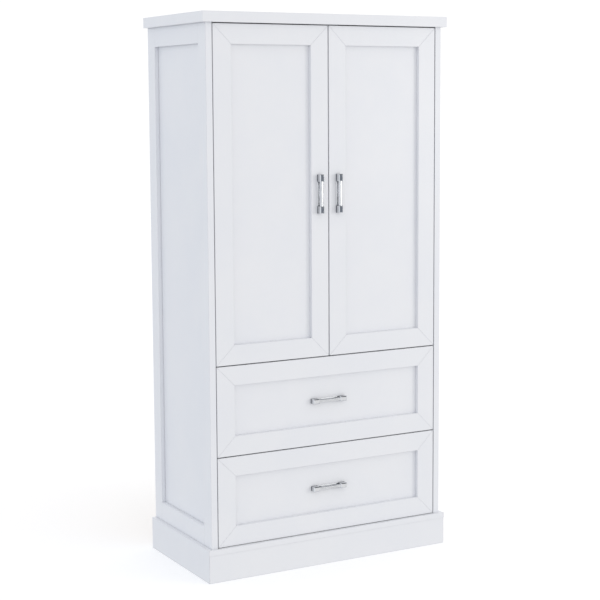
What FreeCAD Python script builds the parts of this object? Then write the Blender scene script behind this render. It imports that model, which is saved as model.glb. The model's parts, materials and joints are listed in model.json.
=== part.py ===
"""Two-door, two-drawer armoire, built as its separate boards, hardware and runners.

Frame: millimetres, +Z up, the front faces -Y. The origin is on the floor, at the centre of the
whole object's footprint. The carcass stands on a wrap-round plinth. Each side is a frame of two
stiles and two rails round a thin panel. The doors and drawer fronts are mitred frames round a
recessed panel, and all four sit inside the carcass, flush with the front edges of the sides.
"""

import FreeCAD
import Part

import math
import os

Vector = FreeCAD.Vector

# Overall sizes
TOTAL_HEIGHT = 1600.0
BODY_WIDTH = 772.0
BODY_DEPTH = 394.0
TOP_THICKNESS = 30.0
TOP_SIDE_OVERHANG = 14.0
TOP_FRONT_OVERHANG = 12.0
TOP_EDGE_RADIUS = 1.0
HANDLE_PROJECTION = 18.0

# Boards
SIDE_THICKNESS = 19.0
SIDE_STILE_WIDTH = 49.0
SIDE_RAIL_WIDTH = 56.0
SIDE_BOTTOM_RAIL_FOOT = 40.0
SHELF_BOARD = 16.0
BACK_BOARD = 5.0
BACK_REBATE = 9.0
FRONT_THICKNESS = 19.0
FRONT_FRAME_WIDTH = 56.0
INSET_PANEL = 7.0
PANEL_REBATE = 6.0
FRAME_ARRIS = 0.7
SIDE_ARRIS = 0.4

# Plinth
PLINTH_HEIGHT = 96.0
PLINTH_SIDE_BOARD = 12.0
PLINTH_FRONT_BOARD = 9.0
CAP_HEIGHT = 16.0
CAP_PROUD = 1.0
BACK_PLINTH_BOARD = 12.0

# Gaps between the fronts and what is round them
SIDE_GAP = 2.5
MEETING_GAP = 3.0
ROW_GAP = 3.0
TOP_GAP = 2.5
BOTTOM_GAP = 1.5
BEHIND_GAP = 2.0

# Levels
DRAWER_ROWS_TOP = 615.5
MIDDLE_TOP = 616.5
SHELF_TOPS = (930.0, 1250.0)
HINGE_LEVELS = (720.0, 1092.5, 1465.0)

# Handles
HANDLE_LENGTH = 112.0
HANDLE_BLOCK = (21.0, 14.0)
HANDLE_BAR = (10.0, 8.0)
HANDLE_SET_BACK = 1.0
HANDLE_ARRIS = 2.0
HANDLE_FOOT = 2.0
HANDLE_FOOT_ARRIS = 0.9
HANDLE_SCREW_SPACING = 96.0
HANDLE_SCREW_RADIUS = 2.0
HANDLE_SCREW_HEAD = (4.0, 2.2)
DOOR_HANDLE_X = 31.0
DOOR_HANDLE_LEVEL = 1090.0

# Concealed hinges, measured from the pivot pin
PIVOT_FROM_EDGE = 22.5
PIVOT_FROM_BACK_FACE = 9.0
CUP_RADIUS = 17.5
CUP_DEPTH = 13.5
CUP_WALL = 1.0
CUP_FLANGE = (62.0, 38.0, 1.2)
CUP_FLANGE_CORNER = 9.0
CUP_SCREW_SPACING = 48.0
PIN_RADIUS = 1.5
PIN_HALF_LENGTH = 10.0
PIN_CLEARANCE = 0.05
LUG_INNER, LUG_OUTER = 7.0, 10.0
LUG_WIDTH = 6.0
LUG_DROP = 6.0
ARM_EYE_RADIUS = 3.0
ARM_HALF_HEIGHT = 6.0
ARM_THICKNESS = 2.6
ARM_ANGLE = 40.0
ARM_REACH = 39.0
ARM_RUN = 31.0
ARM_BEND_IN = 7.0
ARM_FOOT = (9.0, 10.0)
ARM_FOOT_OVERLAP = 4.0
PLATE = (3.0, 24.0, 52.0)
PLATE_FORWARD = 3.0
PLATE_SCREW_SPACING = 32.0
CUP_SCREW_LENGTH = 13.0
PLATE_SCREW_LENGTH = 15.0

# Drawers and their runners
BOX_BOARD = 12.0
BOX_HEIGHT = 180.0
BOX_LENGTH = 350.0
BOX_LIFT = 13.5
BOX_BOTTOM = 4.0
BOX_GROOVE_UP = 10.0
BOX_GROOVE_DEEP = 6.0
BOX_SCREW_X = 332.0
BOX_SCREW_EDGE = 40.0
BOX_SCREW_LENGTH = 24.0
RUNNER_DEPTH = 12.7
RUNNER_LEVEL = 60.0
RUNNER_LENGTH = 350.0
RUNNER_SHEET = 1.2

# Runner members: near and far faces, measured from the cabinet's side, and half the height
CABINET_MEMBER = (0.0, 9.0, 22.5)
MIDDLE_MEMBER = (3.6, 10.4, 17.2)
DRAWER_MEMBER = (6.0, RUNNER_DEPTH, 12.0)
CABINET_MEMBER_LIP = 3.5
MIDDLE_MEMBER_ENDS = (1.0, 4.0)
CABINET_MEMBER_SCREWS = (14.0, RUNNER_LENGTH - 10.0)
CABINET_SCREW_LENGTH = 14.0
DRAWER_MEMBER_SCREWS = (40.0, RUNNER_LENGTH - 40.0)
DRAWER_SCREW_LENGTH = 12.0

# Small hardware
PIN_HOLE_RADIUS = 2.5
PIN_HOLE_DEEP = 10.0
PIN_PITCH = 32.0
PIN_ROW_STEPS = (-2, -1, 0, 1, 2)
FRONT_PIN_LINE = -148.5
BACK_PIN_LINE = 182.0
PIN_STEM = (9.0, 1.5)
PIN_SPOON = (9.0, 8.0, 5.5)
SHELF_SET_BACK = 19.0
SHELF_SIDE_GAP = 1.5
SHELF_BACK_GAP = 6.0
FIXING_RAIL = (15.0, 80.0)
FIXING_HOLE_LENGTH = 30.0
FIXING_HOLE_RADIUS = 2.75
FIXING_SPACING = 500.0
FIXING_DROP = 40.0
DOOR_STOP = (90.0, 30.0, 20.0)
BUMPER_RADIUS = 4.0
REST_GAP = 0.3
SCREW_RADIUS = 1.8
SCREW_HEAD = (3.6, 2.0)
SMALL_SCREW_RADIUS = 1.5
SMALL_SCREW_HEAD = (3.2, 1.8)

# Screws round the two back panels
BACK_SCREW_LENGTH = 16.0
BACK_SCREW_LEVELS = (130, 280, 430, 575, 645, 800, 955, 1110, 1265, 1420, 1545)
BOARD_SCREW_X = (-240.0, 0.0, 240.0)
TOP_SCREW_X = (-120.0, 120.0)
TOP_SCREW_DROP = 20.0
SPLIT_SCREW_OFFSET = 4.5

# How far a cutting shape runs past the face it cuts, and how near two points count as one
OVERCUT = 1.0
TOUCHING = 1e-6

# Planes worked out from the sizes above
FRONT_Y = -(BODY_DEPTH + HANDLE_PROJECTION) / 2 + HANDLE_PROJECTION
BACK_Y = FRONT_Y + BODY_DEPTH
HALF_BODY = BODY_WIDTH / 2
HALF_INSIDE = HALF_BODY - SIDE_THICKNESS
UNDER_TOP = TOTAL_HEIGHT - TOP_THICKNESS
FRONT_BACK_FACE = FRONT_Y + FRONT_THICKNESS
BOARDS_FRONT = FRONT_BACK_FACE + BEHIND_GAP
BACK_INNER = BACK_Y - BACK_BOARD
MIDDLE_BOTTOM = MIDDLE_TOP - SHELF_BOARD
BACK_SPLIT = MIDDLE_TOP - SHELF_BOARD / 2
DOOR_BOTTOM = DRAWER_ROWS_TOP + ROW_GAP
DOOR_TOP = UNDER_TOP - TOP_GAP
LOWER_FRONT_BOTTOM = PLINTH_HEIGHT + BOTTOM_GAP
DRAWER_FRONT_HEIGHT = (DRAWER_ROWS_TOP - LOWER_FRONT_BOTTOM - ROW_GAP) / 2
UPPER_FRONT_BOTTOM = LOWER_FRONT_BOTTOM + DRAWER_FRONT_HEIGHT + ROW_GAP
PIVOT_X = HALF_INSIDE - SIDE_GAP - PIVOT_FROM_EDGE
PIVOT_Y = FRONT_BACK_FACE - PIVOT_FROM_BACK_FACE


def box(x0, x1, y0, y1, z0, z1):
    """A block between two corners."""
    return Part.makeBox(x1 - x0, y1 - y0, z1 - z0, Vector(x0, y0, z0))


def rod(radius, start, end):
    """A round rod from one point to another."""
    a, b = Vector(*start), Vector(*end)
    return Part.makeCylinder(radius, (b - a).Length, a, b - a)


def prism(points, direction):
    """A closed outline of 3-D points, pushed along a direction."""
    outline = Part.makePolygon([Vector(*p) for p in points] + [Vector(*points[0])])
    return Part.Face(outline).extrude(Vector(*direction))


def on_plane(edge, axis, level):
    """True for an edge that lies in the plane at this level of an axis ("x", "y" or "z")."""
    return all(abs(getattr(v.Point, axis) - level) < TOUCHING for v in edge.Vertexes)


def eased(shape, axis, level, size):
    """The shape with a small bevel on every edge of its face in one plane."""
    return shape.makeChamfer(size, [e for e in shape.Edges if on_plane(e, axis, level)])


def screw(start, direction, length, radius=SCREW_RADIUS, head=SCREW_HEAD):
    """Countersunk screw; start is the centre of its head's flat face."""
    head_radius, head_deep = head
    way = Vector(*direction)
    cone = Part.makeCone(head_radius, radius, head_deep, Vector(*start), way)
    return cone.fuse(Part.makeCylinder(radius, length, Vector(*start), way)).removeSplitter()


def mirrored(shape):
    """The same piece on the other side of the object."""
    return shape.mirror(Vector(0, 0, 0), Vector(1, 0, 0))


def both_sides(shape):
    """A piece and its mirror image."""
    return [shape, mirrored(shape)]


def save(name, *shapes):
    """Writes one node; several shapes become separate solids in it."""
    solids = [solid for shape in shapes for solid in shape.Solids]
    node = solids[0] if len(solids) == 1 else Part.makeCompound(solids)
    node.exportStep(f"parts/{name}.step")


# ---- carcass -------------------------------------------------------------------------------


def top_panel():
    """The thick top, which stands out past the carcass at the front and the sides."""
    half = HALF_BODY + TOP_SIDE_OVERHANG
    slab = box(-half, half, FRONT_Y - TOP_FRONT_OVERHANG, BACK_Y, UNDER_TOP, TOTAL_HEIGHT)
    return slab.makeFillet(TOP_EDGE_RADIUS, slab.Edges)


def side_inset_panel():
    """The thin panel of the left side, flush with the inner face of its frame."""
    return box(
        -HALF_INSIDE - INSET_PANEL,
        -HALF_INSIDE,
        FRONT_Y + SIDE_STILE_WIDTH - PANEL_REBATE,
        BACK_Y - SIDE_STILE_WIDTH + PANEL_REBATE,
        PLINTH_HEIGHT + SIDE_RAIL_WIDTH - PANEL_REBATE,
        UNDER_TOP - SIDE_RAIL_WIDTH + PANEL_REBATE,
    )


def pin_levels():
    """Heights of the shelf-pin holes: a short row round each shelf."""
    return [
        shelf_top - SHELF_BOARD - PIN_HOLE_RADIUS + PIN_PITCH * step
        for shelf_top in SHELF_TOPS
        for step in PIN_ROW_STEPS
    ]


def pin_holes(line_y):
    """Blind holes in the left side's inner face, in one upright line."""
    deep, mouth = -HALF_INSIDE - PIN_HOLE_DEEP, -HALF_INSIDE + OVERCUT
    holes = [rod(PIN_HOLE_RADIUS, (deep, line_y, z), (mouth, line_y, z)) for z in pin_levels()]
    return Part.makeCompound(holes)


def side_front_stile():
    """Front stile of the left side, down to the floor."""
    stile = box(-HALF_BODY, -HALF_INSIDE, FRONT_Y, FRONT_Y + SIDE_STILE_WIDTH, 0, UNDER_TOP)
    stile = eased(stile, "x", -HALF_BODY, SIDE_ARRIS)
    stile = stile.cut(side_inset_panel()).cut(pin_holes(FRONT_PIN_LINE))
    return stile.cut(plate_screws()).cut(Part.makeCompound(cabinet_runner_screws()))


def side_back_stile():
    """Back stile of the left side, with the rebate that the back panels lie in."""
    stile = box(-HALF_BODY, -HALF_INSIDE, BACK_Y - SIDE_STILE_WIDTH, BACK_Y, 0, UNDER_TOP)
    stile = eased(stile, "x", -HALF_BODY, SIDE_ARRIS)
    rebate = box(-HALF_INSIDE - BACK_REBATE, -HALF_INSIDE, BACK_INNER, BACK_Y, 0, UNDER_TOP)
    stile = stile.cut(side_inset_panel()).cut(rebate).cut(pin_holes(BACK_PIN_LINE))
    return stile.cut(back_screws()).cut(Part.makeCompound(cabinet_runner_screws()))


def side_rails():
    """Top and foot rails of the left side."""
    y0, y1 = FRONT_Y + SIDE_STILE_WIDTH, BACK_Y - SIDE_STILE_WIDTH
    foot_top = PLINTH_HEIGHT + SIDE_RAIL_WIDTH
    top = box(-HALF_BODY, -HALF_INSIDE, y0, y1, UNDER_TOP - SIDE_RAIL_WIDTH, UNDER_TOP)
    foot = box(-HALF_BODY, -HALF_INSIDE, y0, y1, SIDE_BOTTOM_RAIL_FOOT, foot_top)
    return [eased(rail, "x", -HALF_BODY, SIDE_ARRIS).cut(side_inset_panel()) for rail in (top, foot)]


def back_panel(z0, z1):
    """Thin board in the sides' rebates, between two heights."""
    half = HALF_INSIDE + BACK_REBATE
    return box(-half, half, BACK_INNER, BACK_Y, z0, z1).cut(fixing_holes()).cut(back_screws())


def fixing_holes():
    """Two through holes for the screws that tie the armoire to a wall."""
    z = UNDER_TOP - FIXING_DROP
    places = (-FIXING_SPACING / 2, FIXING_SPACING / 2)
    start, end = BACK_INNER - FIXING_HOLE_LENGTH, BACK_Y + OVERCUT
    return Part.makeCompound([rod(FIXING_HOLE_RADIUS, (x, start, z), (x, end, z)) for x in places])


def wall_fixing_rail():
    """Rail under the top that takes the wall fixings."""
    deep, high = FIXING_RAIL
    y0, z0 = BACK_INNER - deep, UNDER_TOP - high
    rail = box(-HALF_INSIDE, HALF_INSIDE, y0, BACK_INNER, z0, UNDER_TOP)
    return rail.cut(fixing_holes()).cut(back_screws())


def door_stop():
    """Block under the top that the two doors' meeting stiles close towards."""
    wide, deep, high = DOOR_STOP
    return box(-wide / 2, wide / 2, BOARDS_FRONT, BOARDS_FRONT + deep, UNDER_TOP - high, UNDER_TOP)


def door_bumper():
    """Soft pad on the stop, for the left door."""
    z = (DOOR_TOP + UNDER_TOP - DOOR_STOP[2]) / 2
    x = -FRONT_FRAME_WIDTH / 2
    return rod(BUMPER_RADIUS, (x, FRONT_BACK_FACE + REST_GAP, z), (x, BOARDS_FRONT, z))


def back_screw_places():
    """Centres of the screws round the two back panels."""
    edge = HALF_INSIDE + BACK_REBATE / 2
    offsets = (-SPLIT_SCREW_OFFSET, SPLIT_SCREW_OFFSET)
    places = [(x, z) for z in BACK_SCREW_LEVELS for x in (-edge, edge)]
    places += [(x, BACK_SPLIT + dz) for x in BOARD_SCREW_X for dz in offsets]
    places += [(x, PLINTH_HEIGHT - SHELF_BOARD / 2) for x in BOARD_SCREW_X]
    return places + [(x, UNDER_TOP - TOP_SCREW_DROP) for x in TOP_SCREW_X]


def back_screws():
    """Flat-headed screws that hold the back panels, their heads flush with the back."""
    size = (BACK_SCREW_LENGTH, SMALL_SCREW_RADIUS, SMALL_SCREW_HEAD)
    screws = [screw((x, BACK_Y, z), (0, -1, 0), *size) for x, z in back_screw_places()]
    return Part.makeCompound(screws)


def front_plinth():
    """Skirting board across the front, mitred to the side boards."""
    return plinth_board(0.0, PLINTH_HEIGHT - CAP_HEIGHT, 0.0)


def plinth_cap():
    """Strip on top of the front board, standing a little proud of it."""
    return plinth_board(PLINTH_HEIGHT - CAP_HEIGHT, PLINTH_HEIGHT, CAP_PROUD)


def plinth_board(z0, z1, proud):
    """A front skirting board between two heights, its ends mitred."""
    outer_x = HALF_BODY + PLINTH_SIDE_BOARD + proud
    outer_y = FRONT_Y - PLINTH_FRONT_BOARD - proud
    outline = [
        (-outer_x, outer_y, z0),
        (outer_x, outer_y, z0),
        (HALF_BODY, FRONT_Y, z0),
        (-HALF_BODY, FRONT_Y, z0),
    ]
    return prism(outline, (0, 0, z1 - z0))


def side_plinth():
    """Skirting board of the left side, from the front mitre to the back."""
    outer_x = HALF_BODY + PLINTH_SIDE_BOARD
    outline = [
        (-outer_x, FRONT_Y - PLINTH_FRONT_BOARD, 0),
        (-HALF_BODY, FRONT_Y, 0),
        (-HALF_BODY, BACK_Y, 0),
        (-outer_x, BACK_Y, 0),
    ]
    return prism(outline, (0, 0, PLINTH_HEIGHT))


def middle_panel():
    """Board between the doors' compartment and the drawers', its top just under the doors."""
    board = box(-HALF_INSIDE, HALF_INSIDE, BOARDS_FRONT, BACK_INNER, MIDDLE_BOTTOM, MIDDLE_TOP)
    return board.cut(back_screws())


def bottom_panel():
    """Board under the lower drawer."""
    z0 = PLINTH_HEIGHT - SHELF_BOARD
    return box(-HALF_INSIDE, HALF_INSIDE, FRONT_Y, BACK_INNER, z0, PLINTH_HEIGHT).cut(back_screws())


def back_plinth():
    """Board that closes the plinth at the back."""
    y0 = BACK_INNER - BACK_PLINTH_BOARD
    return box(-HALF_INSIDE, HALF_INSIDE, y0, BACK_INNER, 0, PLINTH_HEIGHT - SHELF_BOARD)


def shelf(shelf_top):
    """Loose shelf, set back so that the doors' hinge edges can swing in front of it."""
    half = HALF_INSIDE - SHELF_SIDE_GAP
    y0, y1 = FRONT_BACK_FACE + SHELF_SET_BACK, BACK_INNER - SHELF_BACK_GAP
    return box(-half, half, y0, y1, shelf_top - SHELF_BOARD, shelf_top)


def shelf_pin(line_y, shelf_top):
    """Stem in the hole, and a flat spoon that the shelf lies on."""
    top = shelf_top - SHELF_BOARD
    x, z = -HALF_INSIDE, top - PIN_HOLE_RADIUS
    stem_in, stem_out = PIN_STEM
    long, wide, thick = PIN_SPOON
    stem = rod(PIN_HOLE_RADIUS, (x - stem_in, line_y, z), (x + stem_out, line_y, z))
    spoon = box(x, x + long, line_y - wide / 2, line_y + wide / 2, top - thick, top)
    return stem.fuse(spoon).removeSplitter()


def build_carcass():
    """Saves every node of the standing body."""
    save("top_panel", top_panel())
    sides = {
        "front_stile": [side_front_stile()],
        "back_stile": [side_back_stile()],
        "rails": side_rails(),
        "panel": [side_inset_panel()],
    }
    for piece, shapes in sides.items():
        save(f"left_side_{piece}", *shapes)
        save(f"right_side_{piece}", *[mirrored(s) for s in shapes])
    save("middle_panel", middle_panel())
    save("bottom_panel", bottom_panel())
    save("back_panel_upper", back_panel(BACK_SPLIT, UNDER_TOP))
    save("back_panel_lower", back_panel(PLINTH_HEIGHT - SHELF_BOARD, BACK_SPLIT))
    save("back_panel_screws", back_screws())
    save("wall_fixing_rail", wall_fixing_rail())
    save("door_stop", door_stop())
    save("door_bumpers", *both_sides(door_bumper()))
    save("front_plinth", front_plinth())
    save("plinth_cap", plinth_cap())
    save("side_plinths", *both_sides(side_plinth()))
    save("back_plinth", back_plinth())
    lower_shelf_top, upper_shelf_top = SHELF_TOPS
    save("lower_shelf", shelf(lower_shelf_top))
    save("upper_shelf", shelf(upper_shelf_top))
    pins = [shelf_pin(y, top) for top in SHELF_TOPS for y in (FRONT_PIN_LINE, BACK_PIN_LINE)]
    save("shelf_pins", *[s for pin in pins for s in both_sides(pin)])


# ---- framed fronts: doors and drawer fronts ------------------------------------------------


def inset(x0, x1, z0, z1):
    """The thin panel of a framed front, flush with the frame's back face."""
    grow = FRONT_FRAME_WIDTH - PANEL_REBATE
    y1 = FRONT_BACK_FACE
    return box(x0 + grow, x1 - grow, y1 - INSET_PANEL, y1, z0 + grow, z1 - grow)


def framed_front(x0, x1, z0, z1):
    """Mitred frame of two stiles and two rails, and its panel, between two corners."""
    w, y, panel = FRONT_FRAME_WIDTH, FRONT_Y, inset(x0, x1, z0, z1)
    outlines = {
        "left": [(x0, y, z0), (x0 + w, y, z0 + w), (x0 + w, y, z1 - w), (x0, y, z1)],
        "right": [(x1, y, z0), (x1, y, z1), (x1 - w, y, z1 - w), (x1 - w, y, z0 + w)],
        "bottom": [(x0, y, z0), (x1, y, z0), (x1 - w, y, z0 + w), (x0 + w, y, z0 + w)],
        "top": [(x0, y, z1), (x0 + w, y, z1 - w), (x1 - w, y, z1 - w), (x1, y, z1)],
    }
    pieces = {"panel": panel}
    for name, outline in outlines.items():
        member = prism(outline, (0, FRONT_THICKNESS, 0))
        pieces[name] = eased(member, "y", FRONT_Y, FRAME_ARRIS).cut(panel)
    return pieces


def handle(centre_x, centre_z, upright):
    """Bar handle: a long foot, a square block on each end of it, and a slimmer bar in front."""
    block_long, block_wide = HANDLE_BLOCK
    bar_wide, bar_deep = HANDLE_BAR
    front, end = FRONT_Y - HANDLE_PROJECTION, HANDLE_LENGTH / 2
    reach, half = end - block_long, block_wide / 2
    blocks = [box(x, x + block_long, front, FRONT_Y, -half, half) for x in (-end, reach)]
    blocks = [eased(block, "y", front, HANDLE_ARRIS) for block in blocks]
    bar_front = front + HANDLE_SET_BACK
    bar = box(-reach, reach, bar_front, bar_front + bar_deep, -bar_wide / 2, bar_wide / 2)
    foot = box(-reach, reach, FRONT_Y - HANDLE_FOOT, FRONT_Y, -half, half)
    long_edges = [e for e in foot.Edges if on_plane(e, "y", FRONT_Y - HANDLE_FOOT)]
    long_edges = [e for e in long_edges if e.Length > block_wide + TOUCHING]
    foot = foot.makeChamfer(HANDLE_FOOT_ARRIS, long_edges)
    pieces = [*blocks, bar, foot]
    for piece in pieces:
        if upright:
            piece.rotate(Vector(0, 0, 0), Vector(0, 1, 0), 90)
        piece.translate(Vector(centre_x, 0, centre_z))
    return pieces


def handle_screws(centre_x, centre_z, upright, back_y, seat_y):
    """Two pan-headed screws from behind a front, up to the foot of each end block."""
    head_radius, head_deep = HANDLE_SCREW_HEAD
    screws = []
    for end in (-HANDLE_SCREW_SPACING / 2, HANDLE_SCREW_SPACING / 2):
        x = centre_x + (0 if upright else end)
        z = centre_z + (end if upright else 0)
        head = rod(head_radius, (x, back_y, z), (x, back_y + head_deep, z))
        shank = rod(HANDLE_SCREW_RADIUS, (x, seat_y, z), (x, back_y + head_deep / 2, z))
        screws.append(head.fuse(shank).removeSplitter())
    return screws


# ---- concealed hinges, drawn for the left door ---------------------------------------------


def hinge_point(dx, dy, level):
    """A point given from the left pivot, at one hinge's level."""
    return Vector(-PIVOT_X + dx, PIVOT_Y + dy, level)


def hinge_cup(level):
    """Round cup let into the door, with a flange on its back face and two lugs for the pin."""
    back = PIVOT_FROM_BACK_FACE
    axis = Vector(0, 1, 0)
    outer = Part.makeCylinder(CUP_RADIUS, CUP_DEPTH, hinge_point(0, back - CUP_DEPTH, level), axis)
    high, wide, thick = CUP_FLANGE
    flange = Part.makeBox(wide, thick, high, hinge_point(-wide / 2, back, level - high / 2))
    flange = flange.makeFillet(CUP_FLANGE_CORNER, [e for e in flange.Edges if runs_along_y(e)])
    inner_radius = CUP_RADIUS - CUP_WALL
    floor = hinge_point(0, back - CUP_DEPTH + CUP_WALL, level)
    room = Part.makeCylinder(inner_radius, CUP_DEPTH + thick, floor, axis)
    shell = outer.fuse(flange).cut(room)
    lug_deep, lug_high = CUP_DEPTH - CUP_WALL - LUG_DROP, LUG_OUTER - LUG_INNER
    for z0 in (level + LUG_INNER, level - LUG_OUTER):
        foot = hinge_point(-LUG_WIDTH / 2, back - CUP_DEPTH + CUP_WALL, z0)
        shell = shell.fuse(Part.makeBox(LUG_WIDTH, lug_deep, lug_high, foot))
    for hole in (hinge_pin(level), *cup_screws(level)):
        shell = shell.cut(hole)
    return shell.removeSplitter()


def runs_along_y(edge):
    """True for a straight edge that runs from front to back."""
    a, b = edge.Vertexes[0].Point, edge.Vertexes[-1].Point
    return abs(a.x - b.x) < TOUCHING and abs(a.z - b.z) < TOUCHING


def cup_screws(level):
    """Two screws through the cup's flange, above and below it, into the stile."""
    back = PIVOT_FROM_BACK_FACE + CUP_FLANGE[2]
    half = CUP_SCREW_SPACING / 2
    heads = [tuple(hinge_point(0, back, level + dz)) for dz in (-half, half)]
    return [screw(head, (0, -1, 0), CUP_SCREW_LENGTH) for head in heads]


def hinge_pin(level):
    """The pin that the door turns on, through the lugs and the arm's eye."""
    return rod(
        PIN_RADIUS,
        hinge_point(0, 0, level - PIN_HALF_LENGTH),
        hinge_point(0, 0, level + PIN_HALF_LENGTH),
    )


def cup_bores():
    """Round recesses in the left door's hinge stile, one for each cup, and the screws' holes."""
    start, axis = PIVOT_FROM_BACK_FACE - CUP_DEPTH, Vector(0, 1, 0)
    bores = []
    for z in HINGE_LEVELS:
        foot = hinge_point(0, start, z)
        bores.append(Part.makeCylinder(CUP_RADIUS, CUP_DEPTH + OVERCUT, foot, axis))
        bores += cup_screws(z)
    return Part.makeCompound(bores)


def strip(start, end, level):
    """A flat strip of the arm between two points given from the pivot, with rounded ends."""
    (x0, y0), (x1, y1) = start, end
    half = ARM_THICKNESS / 2
    length = math.hypot(x1 - x0, y1 - y0)
    nx, ny = -(y1 - y0) / length * half, (x1 - x0) / length * half
    z0 = level - ARM_HALF_HEIGHT
    corners = [(x0 + nx, y0 + ny), (x1 + nx, y1 + ny), (x1 - nx, y1 - ny), (x0 - nx, y0 - ny)]
    outline = [tuple(hinge_point(x, y, z0)) for x, y in corners]
    body = prism(outline, (0, 0, 2 * ARM_HALF_HEIGHT))
    ends = [
        Part.makeCylinder(half, 2 * ARM_HALF_HEIGHT, hinge_point(x, y, z0), Vector(0, 0, 1))
        for x, y in (start, end)
    ]
    return body.fuse(ends)


def hinge_arm(level):
    """Cranked arm: from a block on the plate, round the swing of the door's edge, to the pin."""
    angle = math.radians(ARM_ANGLE)
    elbow = (ARM_REACH * math.cos(angle), ARM_REACH * math.sin(angle))
    bend = (elbow[0] - ARM_BEND_IN, ARM_RUN)
    wall = -(SIDE_GAP + PIVOT_FROM_EDGE) + PLATE[0]
    eye_z, high = level - ARM_HALF_HEIGHT, 2 * ARM_HALF_HEIGHT
    eye = Part.makeCylinder(ARM_EYE_RADIUS, high, hinge_point(0, 0, eye_z), Vector(0, 0, 1))
    foot_long, foot_deep = ARM_FOOT
    foot_corner = hinge_point(wall, ARM_RUN - foot_deep / 2, eye_z)
    foot = Part.makeBox(foot_long, foot_deep, high, foot_corner)
    arm = eye.fuse([strip((0, 0), elbow, level), strip(elbow, bend, level)])
    arm = arm.fuse([strip(bend, (wall + ARM_FOOT_OVERLAP, ARM_RUN), level), foot])
    hole_half = ARM_HALF_HEIGHT + OVERCUT
    hole = rod(
        PIN_RADIUS + PIN_CLEARANCE,
        hinge_point(0, 0, level - hole_half),
        hinge_point(0, 0, level + hole_half),
    )
    return arm.cut(hole).removeSplitter()


def hinge_plate(level):
    """Mounting plate on the inner face of the front stile."""
    thick, deep, high = PLATE
    y0 = PIVOT_Y + ARM_RUN - PLATE_FORWARD - deep / 2
    corner = Vector(-HALF_INSIDE, y0, level - high / 2)
    return Part.makeBox(thick, deep, high, corner).cut(plate_screws())


def plate_screws():
    """Countersunk screws that hold the left side's hinge plates to the front stile."""
    screws = []
    x, y = -HALF_INSIDE + PLATE[0], PIVOT_Y + ARM_RUN - PLATE_FORWARD
    for level in HINGE_LEVELS:
        for dz in (-PLATE_SCREW_SPACING / 2, PLATE_SCREW_SPACING / 2):
            screws.append(screw((x, y, level + dz), (-1, 0, 0), PLATE_SCREW_LENGTH))
    return Part.makeCompound(screws)


def build_doors():
    """Saves every node of both doors, and their hinge arms and plates."""
    pieces = framed_front(-HALF_INSIDE + SIDE_GAP, -MEETING_GAP / 2, DOOR_BOTTOM, DOOR_TOP)
    grip = (-DOOR_HANDLE_X, DOOR_HANDLE_LEVEL, True)
    grip_screws = handle_screws(*grip, FRONT_BACK_FACE, FRONT_Y)
    stile_holes = Part.makeCompound(grip_screws)
    cup_fixings = [s for z in HINGE_LEVELS for s in cup_screws(z)]
    door = {
        "hinge_stile": [pieces["left"].cut(cup_bores())],
        "meeting_stile": [pieces["right"].cut(stile_holes)],
        "rails": [pieces["bottom"], pieces["top"]],
        "panel": [pieces["panel"]],
        "handle": handle(*grip),
        "screws": grip_screws + cup_fixings,
        "hinge_cups": [s for z in HINGE_LEVELS for s in (hinge_cup(z), hinge_pin(z))],
    }
    for piece, shapes in door.items():
        save(f"left_door_{piece}", *shapes)
        save(f"right_door_{piece}", *[mirrored(s) for s in shapes])
    save("hinge_arms", *[s for z in HINGE_LEVELS for s in both_sides(hinge_arm(z))])
    save("hinge_plates", *[s for z in HINGE_LEVELS for s in both_sides(hinge_plate(z))])


# ---- drawers and their runners -------------------------------------------------------------


def channel(x0, x1, half_height, y0, y1, level, opens_inwards, lip=0.0):
    """Pressed channel along Y on the left side, its open side towards the middle or the wall."""
    z0, z1 = level - half_height, level + half_height
    block = box(x0, x1, y0, y1, z0, z1)
    web = RUNNER_SHEET
    room_x0 = x0 + web if opens_inwards else x0 - OVERCUT
    room_x1 = x1 + OVERCUT if opens_inwards else x1 - web
    room = box(room_x0, room_x1, y0 - OVERCUT, y1 + OVERCUT, z0 + web, z1 - web)
    shape = block.cut(room)
    if lip:
        edge = (x1 - web, x1) if opens_inwards else (x0, x0 + web)
        for low, high in ((z0, z0 + lip), (z1 - lip, z1)):
            shape = shape.fuse(box(*edge, y0, y1, low, high))
    return shape.removeSplitter()


def cabinet_member(level):
    """The left runner's outer member, screwed to the carcass."""
    near, far, half = CABINET_MEMBER
    size = (-HALF_INSIDE + near, -HALF_INSIDE + far, half)
    run = (BOARDS_FRONT, BOARDS_FRONT + RUNNER_LENGTH)
    member = channel(*size, *run, level, True, lip=CABINET_MEMBER_LIP)
    return member.cut(Part.makeCompound(cabinet_runner_screws()))


def middle_member(level):
    """The left runner's middle member, which moves half as far as the drawer."""
    near, far, half = MIDDLE_MEMBER
    front, back = MIDDLE_MEMBER_ENDS
    run = (BOARDS_FRONT + front, BOARDS_FRONT + RUNNER_LENGTH - back)
    return channel(-HALF_INSIDE + near, -HALF_INSIDE + far, half, *run, level, True)


def drawer_member(level):
    """The left runner's inner member, screwed to the drawer's side."""
    near, far, half = DRAWER_MEMBER
    run = (BOARDS_FRONT, BOARDS_FRONT + RUNNER_LENGTH)
    member = channel(-HALF_INSIDE + near, -HALF_INSIDE + far, half, *run, level, False)
    return member.cut(Part.makeCompound(drawer_runner_screws(level)))


def runner_levels():
    """Heights of the middle lines of the lower and the upper runners."""
    return [bottom + RUNNER_LEVEL for bottom in (LOWER_FRONT_BOTTOM, UPPER_FRONT_BOTTOM)]


def cabinet_runner_screws():
    """Screws that hold the left cabinet members to the side's two stiles."""
    x = -HALF_INSIDE + SCREW_HEAD[1]
    heads = [(x, BOARDS_FRONT + y, z) for z in runner_levels() for y in CABINET_MEMBER_SCREWS]
    return [screw(head, (-1, 0, 0), CABINET_SCREW_LENGTH) for head in heads]


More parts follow.
